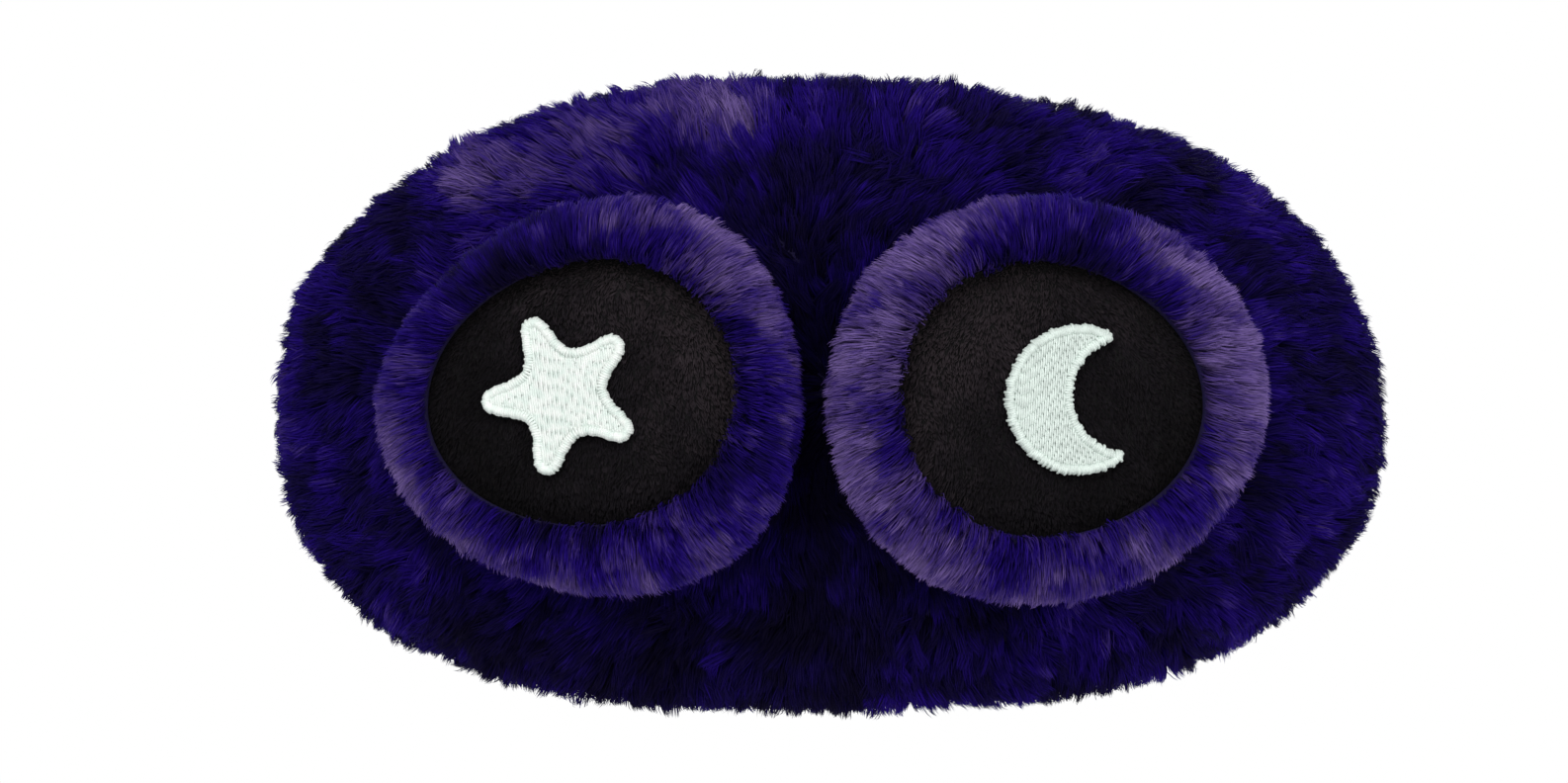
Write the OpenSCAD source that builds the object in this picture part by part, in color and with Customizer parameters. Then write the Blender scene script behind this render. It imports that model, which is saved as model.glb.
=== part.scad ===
// Plush sleep mask with two stuffed eye pads and an adjustable elastic strap.
// Frame: +Z up, the furry front faces -Y, origin where the lining's middle meets the face.

/* [Mask body] */
// Width of the mask over the tips of the pile
mask_w = 214; // [190:1:230]
// Height of the mask over the tips of the pile
mask_h = 122; // [114:1:134]
// How far the furry front bulges forward of the rim
front_crown = 22; // [18:0.5:28]
// How far the lining bulges behind the rim
back_crown = 8; // [7:0.25:10]
// Radius of the bow that the mask takes round a face
bow_r = 300; // [240:5:420]
// Roundness of the outline above the middle, 2 being an ellipse
top_power = 2.12; // [2:0.02:2.4]
// Roundness of the outline below the middle
bottom_power = 2.5; // [2:0.02:2.7]
// Roundness of the cushion in section
section_power = 2.3; // [2:0.05:2.6]

/* [Fabrics] */
// Thickness of the front panel, its knitted backing and laid pile together
fur_t = 6; // [4:0.25:6.5]
// Thickness of the pads' fur, which is cut shorter
pad_fur_t = 4; // [3:0.25:4.5]
// Thickness of the lining
lining_t = 1.2; // [0.8:0.1:1.6]
// Thickness of the layer that keeps the light out
blackout_t = 0.8; // [0.5:0.1:1.2]
// Thickness of the felt under each pad
felt_t = 1.5; // [1:0.1:2]
// Thickness of the short plush on the pads' faces
plush_t = 1.8; // [1.2:0.1:2.2]
// Clearance between layers that are sewn together
sewn_gap = 0.3; // [0.2:0.05:0.4]
// Angle round the cushion's section at which fur meets lining, 90 being the rim
seam_phi = 115; // [108:1:122]

/* [Left eye pad] */
// Middle of the pad's foot, along X
left_pad_x = -40.3; // [-44:0.1:-40]
// Length of the pad
left_pad_w = 81; // [74:0.5:82]
// Breadth of the pad
left_pad_h = 73; // [68:0.5:76]
// Turn of the pad's length from level
left_pad_turn = 7; // [-15:1:15]
// How far the pad's outline swells at three places, as a share of its size
left_pad_egg = 0.04; // [0:0.005:0.05]
// Direction of the first of those places
left_pad_egg_turn = -53; // [-60:1:60]
// Length of the black disc
left_disc_w = 57.5; // [52:0.5:59]
// Breadth of the black disc
left_disc_h = 46.5; // [44:0.5:50]
// Turn of the black disc's length from level
left_disc_turn = 10; // [-15:1:15]
// How far the black disc's outline swells at three places
left_disc_egg = 0.02; // [0:0.005:0.04]
// Direction of the first of those places
left_disc_egg_turn = -48; // [-60:1:60]
// How far the black disc sits to the side of the pad's middle
left_disc_shift = -1; // [-2:0.1:2]
// How far the black disc sits above the pad's middle
left_disc_rise = 1; // [-2:0.1:2]

/* [Right eye pad] */
// Middle of the pad's foot, along X
right_pad_x = 37.8; // [37.5:0.1:42]
// Length of the pad
right_pad_w = 83.5; // [74:0.5:84.5]
// Breadth of the pad
right_pad_h = 75.5; // [68:0.5:78]
// Turn of the pad's length from level
right_pad_turn = 4; // [-15:1:15]
// How far the pad's outline swells at three places, as a share of its size
right_pad_egg = 0.016; // [0:0.002:0.05]
// Direction of the first of those places
right_pad_egg_turn = 3; // [-60:1:60]
// Length of the black disc
right_disc_w = 55.5; // [52:0.5:58]
// Breadth of the black disc
right_disc_h = 48.5; // [44:0.5:52]
// Turn of the black disc's length from level
right_disc_turn = -7; // [-15:1:15]
// How far the black disc's outline swells at three places
right_disc_egg = 0.026; // [0:0.002:0.04]
// Direction of the first of those places
right_disc_egg_turn = -4; // [-60:1:60]
// How far the black disc sits to the side of the pad's middle
right_disc_shift = -0.5; // [-2:0.1:2]
// How far the black disc sits above the pad's middle
right_disc_rise = 0; // [-2:0.1:2]

/* [Both eye pads] */
// Middle of both pads' feet, along Z
pads_z = -1; // [-4:0.5:4]
// Height of the fur's crest over the mask
crest_h = 17.5; // [15:0.5:20]
// Height of each pad's widest girth over the mask
girth_h = 9; // [8:0.25:10]
// Rise of the black disc from its edge to its flat middle
disc_rise = 2.4; // [1.5:0.1:3]

/* [Embroidery] */
// Radius of the star to its tips
star_r = 14.7; // [12:0.1:15]
// Radius of the star to its hollows
star_hollow_r = 7.8; // [6.5:0.1:9]
// Half the angle that a ray of the star takes, where it is half as long
star_ray = 14.5; // [11:0.5:17]
// Turn of the star, from a ray pointing right
star_turn = 42; // [0:1:72]
// How far the star sits to the side of its disc's middle
star_shift = -3.7; // [-4:0.1:0]
// Radius of the moon's outer edge
moon_r = 13.4; // [12:0.1:14.5]
// Radius of the moon's hollow
moon_hollow_r = 10.4; // [9.5:0.1:11.5]
// Distance from the moon's middle to its hollow's middle
moon_offset = 9.1; // [7.5:0.1:10]
// How far the moon's middle sits to the side of its disc's middle
moon_shift = 5; // [0:0.1:5.5]
// Turn of the moon about its middle
moon_turn = 5; // [-20:1:20]
// Width of the satin stitched border
border_w = 1.3; // [1:0.1:1.8]
// Height of the border
border_t = 1.5; // [1.2:0.1:1.8]
// Height of the filled middle of a motif
motif_t = 1; // [0.8:0.1:1.1]

/* [Strap] */
// Width of the elastic
web_w = 20; // [15:0.5:25]
// Thickness of the elastic
web_t = 1.2; // [1:0.1:1.5]
// Length of the run from the mask's side to where the strap turns round the head
run_l = 72; // [71:0.5:84]
// Lean of both runs towards each other
run_lean = 12; // [8:0.5:16]
// How far inside the seam the strap leaves the lining
strap_inset = 7; // [6:0.25:9]
// Radius of the strap's bend where it leaves the lining
bend_r = 2.5; // [2:0.25:3]
// Distance of the slider along its run
slider_s = 31; // [27:0.5:33]
// Distance of the ring's near bar along its run
ring_s = 55; // [52:0.5:56]
// Length of the sewn tail of each fold
tail_l = 8; // [7:0.25:9]

/* [Slider and ring] */
// Diameter of the slider's middle bar
slider_bar_d = 1.7; // [1.5:0.1:2]
// Length of the slider along the strap
slider_l = 12; // [11:0.5:14]
// Thickness of the slider's two outer bars
slider_bar_t = 1.5; // [1.2:0.1:1.8]
// Width of the slider's two outer bars along the strap
slider_bar_w = 2.6; // [2:0.1:3]
// Thickness of the slider's side plates
slider_side_t = 2; // [1.6:0.1:2.4]
// Clearance of the elastic that runs through the slider
run_gap = 0.3; // [0.25:0.05:0.4]
// Clearance of a fold round its bar
fold_gap = 0.2; // [0.15:0.05:0.3]
// Clearance between the elastic's edges and the hardware's sides
edge_gap = 0.5; // [0.3:0.1:0.8]
// Space between the two folds in the ring
ring_gap = 1; // [0.8:0.1:1.5]

/* [Hidden] */

fur_colour = [0.10, 0.06, 0.30];
pad_fur_colour = [0.20, 0.14, 0.42];
black = [0.10, 0.09, 0.10];
thread_colour = [0.88, 0.93, 0.90];
white = [0.90, 0.90, 0.88];
felt_colour = [0.12, 0.08, 0.28];

// Points round a body layer and round a pad, and rings from its middle to its rim
body_around = 40;
pad_around = 30;
front_rings = 9;
back_rings = 3;
$fn = 48;

rim_y = -back_crown;

// ---- The cushion's outer form -------------------------------------------------

function signed_power(v, p) = sign(v) * pow(abs(v), p);
function mix(a, b, share) = a + (b - a) * share;
function bow(x) = x * x / (2 * bow_r);
function outline_power(z) = z < 0 ? bottom_power : top_power;

// Distance from the middle as a share of the outline: 1 at the rim
function rim_share(x, z) =
    let (n = outline_power(z))
    pow(pow(abs(x) / (mask_w / 2), n) + pow(abs(z) / (mask_h / 2), n), 1 / n);

function section(share) = pow(max(0, 1 - pow(share, section_power)), 1 / section_power);
function front_y(x, z) = rim_y - front_crown * section(rim_share(x, z)) + bow(x);
function back_y(x, z) = rim_y + back_crown * section(rim_share(x, z)) + bow(x);

// The point of a layer: phi runs through the section from the front's middle (0) over the
// rim (90) to the back's middle (180), t runs round the outline, depth lies under the skin.
function cushion_point(phi, t, depth) =
    let (
        n = sin(t) < 0 ? bottom_power : top_power,
        out = pow(sin(phi), 2 / section_power),
        along = pow(abs(cos(phi)), 2 / section_power),
        crown = phi < 90 ? depth - front_crown : back_crown - depth,
        x = (mask_w / 2 - depth) * out * signed_power(cos(t), 2 / n),
        z = (mask_h / 2 - depth) * out * signed_power(sin(t), 2 / n)
    )
    [x, rim_y + crown * along + bow(x), z];

function cushion_ring(phi, depth) =
    [for (i = [0:body_around - 1]) cushion_point(phi, i * 360 / body_around, depth)];

// Depth of the fur panel's inner face: full at the front, and thinner from the rim to the seam,
// where it is as thick as the lining and the blackout layer together
back_depth = lining_t + sewn_gap + blackout_t;
function fur_depth(phi) = mix(fur_t, back_depth, max(0, min(1, (phi - 90) / (seam_phi - 90))));

seam_step = 0.5;
lining_phi = seam_phi + seam_step;
blackout_phi = lining_phi + 2 * seam_step;

// ---- Skins over rings of points -----------------------------------------------

function band(a, b, n) =
    [for (i = [0:n - 1]) let (j = (i + 1) % n) each [[a + i, a + j, b + j], [a + i, b + j, b + i]]];

// A closed skin from one end point over rings of points to the other end point
module capped_skin(first, rings, last) {
    n = len(rings[0]);
    count = len(rings);
    end = 1 + count * n;
    polyhedron(
        concat([first], [for (ring = rings) each ring], [last]),
        concat(
            [for (i = [0:n - 1]) [0, 1 + (i + 1) % n, 1 + i]],
            [for (k = [0:count - 2]) each band(1 + k * n, 1 + (k + 1) * n, n)],
            [for (i = [0:n - 1]) [end, end - n + i, end - n + (i + 1) % n]]));
}

// A closed skin over rings that come back to the first one
module looped_skin(rings) {
    n = len(rings[0]);
    count = len(rings);
    polyhedron(
        [for (ring = rings) each ring],
        [for (k = [0:count - 1]) each band(k * n, ((k + 1) % count) * n, n)]);
}

// ---- Mask body ------------------------------------------------------------------

module front_fur_panel() {
    turns = [for (i = [1:front_rings]) seam_phi * i / front_rings];
    color(fur_colour)
        capped_skin(
            cushion_point(0, 0, 0),
            concat(
                [for (phi = turns) cushion_ring(phi, 0)],
                [for (i = [front_rings:-1:1]) let (phi = turns[i - 1]) cushion_ring(phi, fur_depth(phi))]),
            cushion_point(0, 0, fur_t));
}

// The wadding takes its rings where the layers round it have theirs
module body_wadding() {
    turns = concat(
        [for (i = [1:front_rings]) seam_phi * i / front_rings],
        [for (i = [back_rings - 1:-1:1]) 180 - (180 - blackout_phi) * i / back_rings]);
    color(white)
        capped_skin(
            cushion_point(0, 0, fur_t + sewn_gap),
            [for (phi = turns) cushion_ring(phi, fur_depth(phi) + sewn_gap)],
            cushion_point(180, 0, back_depth + sewn_gap));
}

// A sheet behind the wadding, from its edge in to the middle of the back
module back_sheet(edge_phi, outer, inner) {
    turns = [for (i = [1:back_rings]) 180 - (180 - edge_phi) * i / back_rings];
    capped_skin(
        cushion_point(180, 0, inner),
        concat(
            [for (phi = turns) cushion_ring(phi, inner)],
            [for (i = [back_rings:-1:1]) cushion_ring(turns[i - 1], outer)]),
        cushion_point(180, 0, outer));
}

module face_lining() {
    color(black) back_sheet(lining_phi, 0, lining_t);
}

module blackout_interlining() {
    color(black) back_sheet(blackout_phi, lining_t + sewn_gap, back_depth);
}

// ---- Eye pads -------------------------------------------------------------------

// An oval is [middle, half sizes, turn, egg, egg turn], in the plane of its pad
left_pad_oval = [[0, 0], [left_pad_w, left_pad_h] / 2, left_pad_turn, left_pad_egg, left_pad_egg_turn];
right_pad_oval = [[0, 0], [right_pad_w, right_pad_h] / 2, right_pad_turn, right_pad_egg, right_pad_egg_turn];
left_disc_oval = [[left_disc_shift, left_disc_rise], [left_disc_w, left_disc_h] / 2,
    left_disc_turn, left_disc_egg, left_disc_egg_turn];
right_disc_oval = [[right_disc_shift, right_disc_rise], [right_disc_w, right_disc_h] / 2,
    right_disc_turn, right_disc_egg, right_disc_egg_turn];

// The disc is flat as far as its motif reaches, and falls to its rim from there
motif_margin = 0.8;
function flat_oval(disc_oval, reach, shift) =
    [disc_oval[0], [reach + abs(shift), reach] + [motif_margin, motif_margin], 0, 0, 0];
left_flat_oval = flat_oval(left_disc_oval, star_r, star_shift);
right_flat_oval = flat_oval(right_disc_oval, moon_r, moon_shift);

// A pad is [middle x, pad's oval, disc's oval, flat oval]
left_pad = [left_pad_x, left_pad_oval, left_disc_oval, left_flat_oval];
right_pad = [right_pad_x, right_pad_oval, right_disc_oval, right_flat_oval];
function pad_x(pad) = pad[0];
function pad_oval(pad) = pad[1];
function disc_oval(pad) = pad[2];
function flat_part(pad) = pad[3];
function disc_middle(pad) = disc_oval(pad)[0];

// The point of an oval in direction t, moved in by inset
function oval_point(oval, t, inset) =
    let (
        swell = 1 + oval[3] * cos(3 * (t - oval[4])),
        turn = oval[2],
        long = (oval[1][0] * swell - inset) * cos(t - turn),
        broad = (oval[1][1] * swell - inset) * sin(t - turn)
    )
    oval[0] + [long * cos(turn) - broad * sin(turn), long * sin(turn) + broad * cos(turn)];

// The directions of a pad's points, and one oval on its way to another
pad_turns = [for (i = [0:pad_around - 1]) i * 360 / pad_around];
function between(a, b, share, inset = 0) =
    [for (t = pad_turns) mix(oval_point(a, t, inset), oval_point(b, t, inset), share)];

// A pad leans with the mask's surface under it
lean_reach = 32;
function pad_lean(pad) =
    atan((front_y(pad_x(pad) + lean_reach, pads_z) - front_y(pad_x(pad) - lean_reach, pads_z))
        / (2 * lean_reach));
function pad_origin(pad) = [pad_x(pad), front_y(pad_x(pad), pads_z), pads_z];

// A point or an outline of the pad's plane, at height h over the mask
function on_pad(pad, point, h) =
    let (lean = pad_lean(pad))
    pad_origin(pad) + [point[0] * cos(lean) + h * sin(lean), point[0] * sin(lean) - h * cos(lean), point[1]];
function pad_ring(pad, outline, h) = [for (point = outline) on_pad(pad, point, h)];

// An outline laid on the mask's front, and lifted off it by lift
function seat_ring(pad, outline, lift) =
    [for (point = pad_ring(pad, outline, 0)) [point[0], front_y(point[0], point[2]) - lift, point[2]]];
function seat_point(pad, lift) = pad_origin(pad) - [0, lift, 0];

// The fur round a pad is a C in section: theta 0 is its girth, 90 its crest, and it ends at
// inner_theta against the black disc and at outer_theta over the seam with the mask
inner_theta = 150;
outer_theta = -62;
arc_steps = 7;
seat_share = 0.42;
function fur_arc(i) = mix(inner_theta, outer_theta, i / arc_steps);
function fur_height(theta, depth) = girth_h + (crest_h - girth_h - depth) * sin(theta);
function fur_ring(pad, theta, depth) =
    let (
        share = (1 - cos(theta)) / (1 - cos(inner_theta)),
        outline = between(pad_oval(pad), disc_oval(pad), share, depth * cos(theta))
    )
    pad_ring(pad, outline, fur_height(theta, depth));
function fur_seat(pad, depth) =
    seat_ring(pad, between(pad_oval(pad), disc_oval(pad), seat_share, depth), sewn_gap);

module pad_fur(pad) {
    color(pad_fur_colour)
        looped_skin(concat(
            [for (i = [0:arc_steps]) fur_ring(pad, fur_arc(i), 0)],
            [fur_seat(pad, 0)],
            [fur_seat(pad, pad_fur_t)],
            [for (i = [arc_steps:-1:0]) fur_ring(pad, fur_arc(i), pad_fur_t)]));
}

felt_lift = sewn_gap + felt_t;
fill_depth = pad_fur_t + sewn_gap;
felt_shares = [0.35, 0.7, 1];
function felt_ring(pad, share, lift) =
    seat_ring(pad, share * between(pad_oval(pad), disc_oval(pad), seat_share, fill_depth), lift);

// The felt closes the pad and follows the mask's front
module pad_felt(pad) {
    color(felt_colour)
        capped_skin(
            seat_point(pad, felt_lift),
            concat(
                [for (share = felt_shares) felt_ring(pad, share, felt_lift)],
                [for (i = [len(felt_shares) - 1:-1:0]) felt_ring(pad, felt_shares[i], sewn_gap)]),
            seat_point(pad, sewn_gap));
}

// Height of the disc's rim and of its flat middle, over the mask
disc_rim_h = fur_height(inner_theta, 0);
disc_top_h = disc_rim_h + disc_rise;
function disc_ring(pad, share, drop) =
    pad_ring(pad, between(flat_part(pad), disc_oval(pad), share, share * sewn_gap),
        disc_top_h - disc_rise * share * share - drop);

module eye_disc(pad) {
    shares = [0, 0.4, 0.75, 1];
    color(black)
        capped_skin(
            on_pad(pad, disc_middle(pad), disc_top_h),
            concat(
                [for (share = shares) disc_ring(pad, share, 0)],
                [for (i = [len(shares) - 1:-1:0]) disc_ring(pad, shares[i], plush_t)]),
            on_pad(pad, disc_middle(pad), disc_top_h - plush_t));
}

module pad_filling(pad) {
    under_disc = plush_t + sewn_gap;
    fill_lift = felt_lift + sewn_gap;
    color(white)
        capped_skin(
            on_pad(pad, disc_middle(pad), disc_top_h - under_disc),
            concat(
                [for (share = [0, 0.5, 0.9]) disc_ring(pad, share, under_disc)],
                [for (i = [0:arc_steps]) fur_ring(pad, fur_arc(i), fill_depth)],
                [for (i = [len(felt_shares) - 1:-1:0]) felt_ring(pad, felt_shares[i], fill_lift)]),
            seat_point(pad, fill_lift));
}

// ---- Motifs ---------------------------------------------------------------------

// Stands a flat shape on a pad's disc, facing outwards
module on_disc(pad, shift, thickness) {
    translate(pad_origin(pad))
        rotate([0, 0, pad_lean(pad)])
            translate([disc_middle(pad)[0] + shift, -disc_top_h, disc_middle(pad)[1]])
                rotate([90, 0, 0])
                    linear_extrude(thickness) children();
}

// The star's edge, as its radius at an angle from a ray
star_step = 4;
ray_sharpness = 3.2;
function star_edge(off) =
    star_hollow_r + (star_r - star_hollow_r) / (1 + pow(abs(off) / star_ray, ray_sharpness));
star_points = [for (a = [0:star_step:359])
    let (off = (a + 36) % 72 - 36) star_edge(off) * [cos(a), sin(a)]];
star_count = len(star_points);

// A closed outline moved inwards by inset
function moved_in(points, inset) =
    let (n = len(points))
    [for (i = [0:n - 1])
        let (along = points[(i + 1) % n] - points[(i + n - 1) % n])
        points[i] + inset * [-along[1], along[0]] / norm(along)];

module star_shape(inset) {
    rotate(star_turn) polygon(moved_in(star_points, inset));
}

// The crescent's tips are cut blunt, as a needle ends them
tip_cut = 0.53;
module moon_shape(inset) {
    rotate(moon_turn)
        difference() {
            circle(moon_r - inset);
            translate([moon_offset, 0]) circle(moon_hollow_r + inset);
            translate([moon_r * tip_cut - inset, -moon_r]) square([moon_r, 2 * moon_r]);
        }
}

edge_fit = 0.05;
module star_fill() {
    color(thread_colour) on_disc(left_pad, star_shift, motif_t) star_shape(border_w + edge_fit);
}
module star_border() {
    color(thread_colour)
        on_disc(left_pad, star_shift, border_t)
            difference() {
                star_shape(0);
                star_shape(border_w);
            }
}
module moon_fill() {
    color(thread_colour) on_disc(right_pad, moon_shift, motif_t) moon_shape(border_w + edge_fit);
}
module moon_border() {
    color(thread_colour)
        on_disc(right_pad, moon_shift, border_t)
            difference() {
                moon_shape(0);
                moon_shape(border_w);
            }
}

// ---- Strap ----------------------------------------------------------------------

web_lift = sewn_gap + web_t / 2;
seam_x = mask_w / 2 * pow(sin(seam_phi), 2 / section_power);
web_end_x = seam_x - 0.6;
bend_x = seam_x - strap_inset + bend_r;
bend_centre = [bend_x, back_y(bend_x, 0) + web_lift + bend_r];
run_start = bend_centre - bend_r * [cos(run_lean), sin(run_lean)];
run_along = [-sin(run_lean), cos(run_lean)];
run_out = [cos(run_lean), sin(run_lean)];

// A point of the right run: s along it, n outwards from the elastic's middle
function on_run(n, s) = run_start + n * run_out + s * run_along;
function across(point) = [-point[0], point[1]];
function reversed(list) = [for (i = [len(list) - 1:-1:0]) list[i]];

// The sewn end that lies on the lining, and the bend into the run
flange = concat(
    [[web_end_x, back_y(web_end_x, 0) + web_lift]],
    [for (i = [0:6]) let (a = mix(270, 180 + run_lean, i / 6)) bend_centre + bend_r * [cos(a), sin(a)]]);

// Round the back of the head
back_r = (run_start + run_l * run_along)[0] / cos(run_lean);
back_y_centre = (run_start + run_l * run_along)[1] - back_r * sin(run_lean);
back_arc = [for (i = [0:36])
    let (a = mix(run_lean, 180 - run_lean, i / 36))
    [back_r * cos(a), back_y_centre + back_r * sin(a)]];

// A fold wraps its bar at fold_gap. The slider's fold also clears the elastic that runs by it.
slider_bar_n = -(web_t / 2 + run_gap + web_t + fold_gap + slider_bar_d / 2);
return_n = slider_bar_n - slider_bar_d / 2 - fold_gap - web_t / 2;
ring_bar_d = -return_n - 2 * fold_gap - web_t;
ring_bar_n = return_n / 2;
far_bar_s = ring_s + ring_bar_d + 2 * (fold_gap + web_t) + ring_gap;

function turn_round(n, s, r, from, to) =
    [for (i = [0:12]) let (a = mix(from, to, i / 12)) [n + r * cos(a), s + r * sin(a)]];
function to_plan(points) = [for (point = points) on_run(point[0], point[1])];

// A length of elastic along a path in plan
function ribbon(path) =
    let (
        last = len(path) - 1,
        side = [for (i = [0:last])
            let (along = path[min(i + 1, last)] - path[max(i - 1, 0)])
            web_t / 2 * [-along[1], along[0]] / norm(along)]
    )
    concat([for (i = [0:last]) path[i] + side[i]], [for (i = [last:-1:0]) path[i] - side[i]]);

module web(path) {
    color(black) linear_extrude(web_w, center = true) polygon(ribbon(path));
}

fold_r = ring_bar_d / 2 + fold_gap + web_t / 2;

// The tail inside the left fold leaves the bar straight for the place where it meets the elastic
tail_n = -web_t - fold_gap;
tail_meets = [tail_n - ring_bar_n, tail_l * 0.55];
tail_leaves = atan2(tail_meets[1], tail_meets[0]) + acos(fold_r / norm(tail_meets));
module left_strap() {
    web(concat(
        to_plan(concat(
            [[tail_n, far_bar_s + tail_l], [tail_n, far_bar_s + tail_meets[1]]],
            turn_round(ring_bar_n, far_bar_s, fold_r, tail_leaves, 360))),
        back_arc,
        [across(on_run(0, run_l / 2))],
        [for (point = reversed(flange)) across(point)]));
}

return_stub = 1.5;
module right_strap() {
    web(concat(
        flange,
        to_plan(concat(
            turn_round(ring_bar_n, ring_s, fold_r, 0, 180),
            [[return_n, ring_s - return_stub]]))));
}

slider_fold_r = slider_bar_d / 2 + fold_gap + web_t / 2;
slider_tail_n = slider_bar_n + slider_fold_r;
module slider_fold() {
    web(to_plan(concat(
        [[return_n, slider_s + tail_l]],
        turn_round(slider_bar_n, slider_s, slider_fold_r, 180, 360),
        [[slider_tail_n, slider_s + tail_l - 2]])));
}

module strap_return() {
    web(to_plan([[return_n, slider_s + tail_l + sewn_gap], [return_n, ring_s - return_stub - sewn_gap]]));
}

// ---- Slider and ring --------------------------------------------------------------

module in_run() {
    translate([run_start[0], run_start[1], 0]) rotate([0, 0, run_lean]) children();
}

module rounded_plate(low, high, r) {
    size = high - low;
    translate(low) {
        translate([r, 0]) square([size[0] - 2 * r, size[1]]);
        translate([0, r]) square([size[0], size[1] - 2 * r]);
        for (x = [r, size[0] - r], y = [r, size[1] - r]) translate([x, y]) circle(r);
    }
}

hardware_half = web_w / 2 + edge_gap;
module strap_slider() {
    outer_n = web_t / 2 + run_gap;
    inner_n = slider_bar_n - slider_bar_d / 2;
    side_r = 1.6;
    color(black)
        in_run()
            translate([0, slider_s, 0]) {
                for (end = [-1, 1])
                    translate([0, 0, end * (hardware_half + slider_side_t / 2) - slider_side_t / 2])
                        linear_extrude(slider_side_t)
                            rounded_plate([inner_n - 0.4, -slider_l / 2],
                                [outer_n + slider_bar_t, slider_l / 2], side_r);
                translate([slider_bar_n, 0, -hardware_half - slider_side_t / 2])
                    cylinder(d = slider_bar_d, h = 2 * hardware_half + slider_side_t);
                for (end = [-1, 1])
                    translate([0, end * (slider_l - slider_bar_w) / 2, -hardware_half - slider_side_t / 2])
                        linear_extrude(2 * hardware_half + slider_side_t)
                            rounded_plate([outer_n, -slider_bar_w / 2],
                                [outer_n + slider_bar_t, slider_bar_w / 2], slider_bar_t * 0.45);
            }
}

module strap_ring() {
    side_z = hardware_half + ring_bar_d / 2;
    color(black)
        in_run() {
            for (s = [ring_s, far_bar_s])
                translate([ring_bar_n, s, -side_z]) {
                    cylinder(d = ring_bar_d, h = 2 * side_z);
                    for (z = [0, 2 * side_z]) translate([0, 0, z]) sphere(d = ring_bar_d);
                }
            for (end = [-1, 1])
                translate([ring_bar_n, ring_s, end * side_z])
                    rotate([-90, 0, 0]) cylinder(d = ring_bar_d, h = far_bar_s - ring_s);
        }
}

front_fur_panel();
body_wadding();
blackout_interlining();
face_lining();
pad_felt(left_pad);  // left_pad_felt
pad_fur(left_pad);  // left_pad_fur
pad_filling(left_pad);  // left_pad_filling
eye_disc(left_pad);  // left_eye_disc
star_fill();
star_border();
pad_felt(right_pad);  // right_pad_felt
pad_fur(right_pad);  // right_pad_fur
pad_filling(right_pad);  // right_pad_filling
eye_disc(right_pad);  // right_eye_disc
moon_fill();
moon_border();
left_strap();
strap_ring();
right_strap();
strap_return();
slider_fold();
strap_slider();
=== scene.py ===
"""Dresses a plush sleep mask in fur, short plush, embroidery, lining and elastic."""

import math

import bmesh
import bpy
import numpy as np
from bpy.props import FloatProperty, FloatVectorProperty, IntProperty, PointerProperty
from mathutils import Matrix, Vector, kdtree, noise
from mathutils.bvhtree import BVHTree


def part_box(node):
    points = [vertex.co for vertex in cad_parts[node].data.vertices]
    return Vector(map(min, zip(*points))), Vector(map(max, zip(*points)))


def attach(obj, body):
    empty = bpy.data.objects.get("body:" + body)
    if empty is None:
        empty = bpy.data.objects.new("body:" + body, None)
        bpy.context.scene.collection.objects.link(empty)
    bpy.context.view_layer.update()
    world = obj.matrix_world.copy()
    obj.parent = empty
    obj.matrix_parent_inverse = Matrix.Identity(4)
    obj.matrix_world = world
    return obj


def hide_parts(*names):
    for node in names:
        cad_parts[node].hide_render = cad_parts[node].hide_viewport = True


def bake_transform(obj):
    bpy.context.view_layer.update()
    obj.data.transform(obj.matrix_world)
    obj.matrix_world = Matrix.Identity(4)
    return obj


bl_info = {
    "name": "Plush Sleep Mask",
    "version": (1, 0, 0),
    "blender": (4, 5, 0),
    "location": "View3D > Sidebar > Sleep Mask",
    "description": "Furs, embroiders and straps a plush sleep mask with two stuffed eye pads",
    "category": "Object",
}

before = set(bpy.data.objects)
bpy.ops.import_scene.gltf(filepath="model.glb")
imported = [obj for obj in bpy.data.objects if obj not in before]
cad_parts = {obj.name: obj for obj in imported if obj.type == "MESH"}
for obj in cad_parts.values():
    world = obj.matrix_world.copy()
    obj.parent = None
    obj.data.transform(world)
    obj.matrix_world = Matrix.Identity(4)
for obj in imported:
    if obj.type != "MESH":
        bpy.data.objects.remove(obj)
bpy.context.view_layer.update()

MM = 0.001
WELD = 0.01 * MM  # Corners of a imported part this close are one
FRONT = np.array((0.0, -1.0, 0.0))
UPWARDS = np.array((0.0, 0.0, 1.0))
PILE_MAP = "OFBake"
STITCH_MAP = "UVMap"
SHADES = 96  # Steps of shade that a pile's map can hold
WAVE_BAND = math.pi / 10  # Scale at which the bands of a wave texture lie one unit apart


# ---- Sizes and colours ---------------------------------------------------------------


def length_of(name, text, default):
    return FloatProperty(name=name, description=text, default=default, min=0.0, unit="LENGTH")


def count_of(name, text, default, least=1000):
    return IntProperty(name=name, description=text, default=default, min=least)


def colour_of(name, text, default):
    return FloatVectorProperty(
        name=name, description=text, default=default, size=3, min=0.0, max=1.0, subtype="COLOR"
    )


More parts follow.
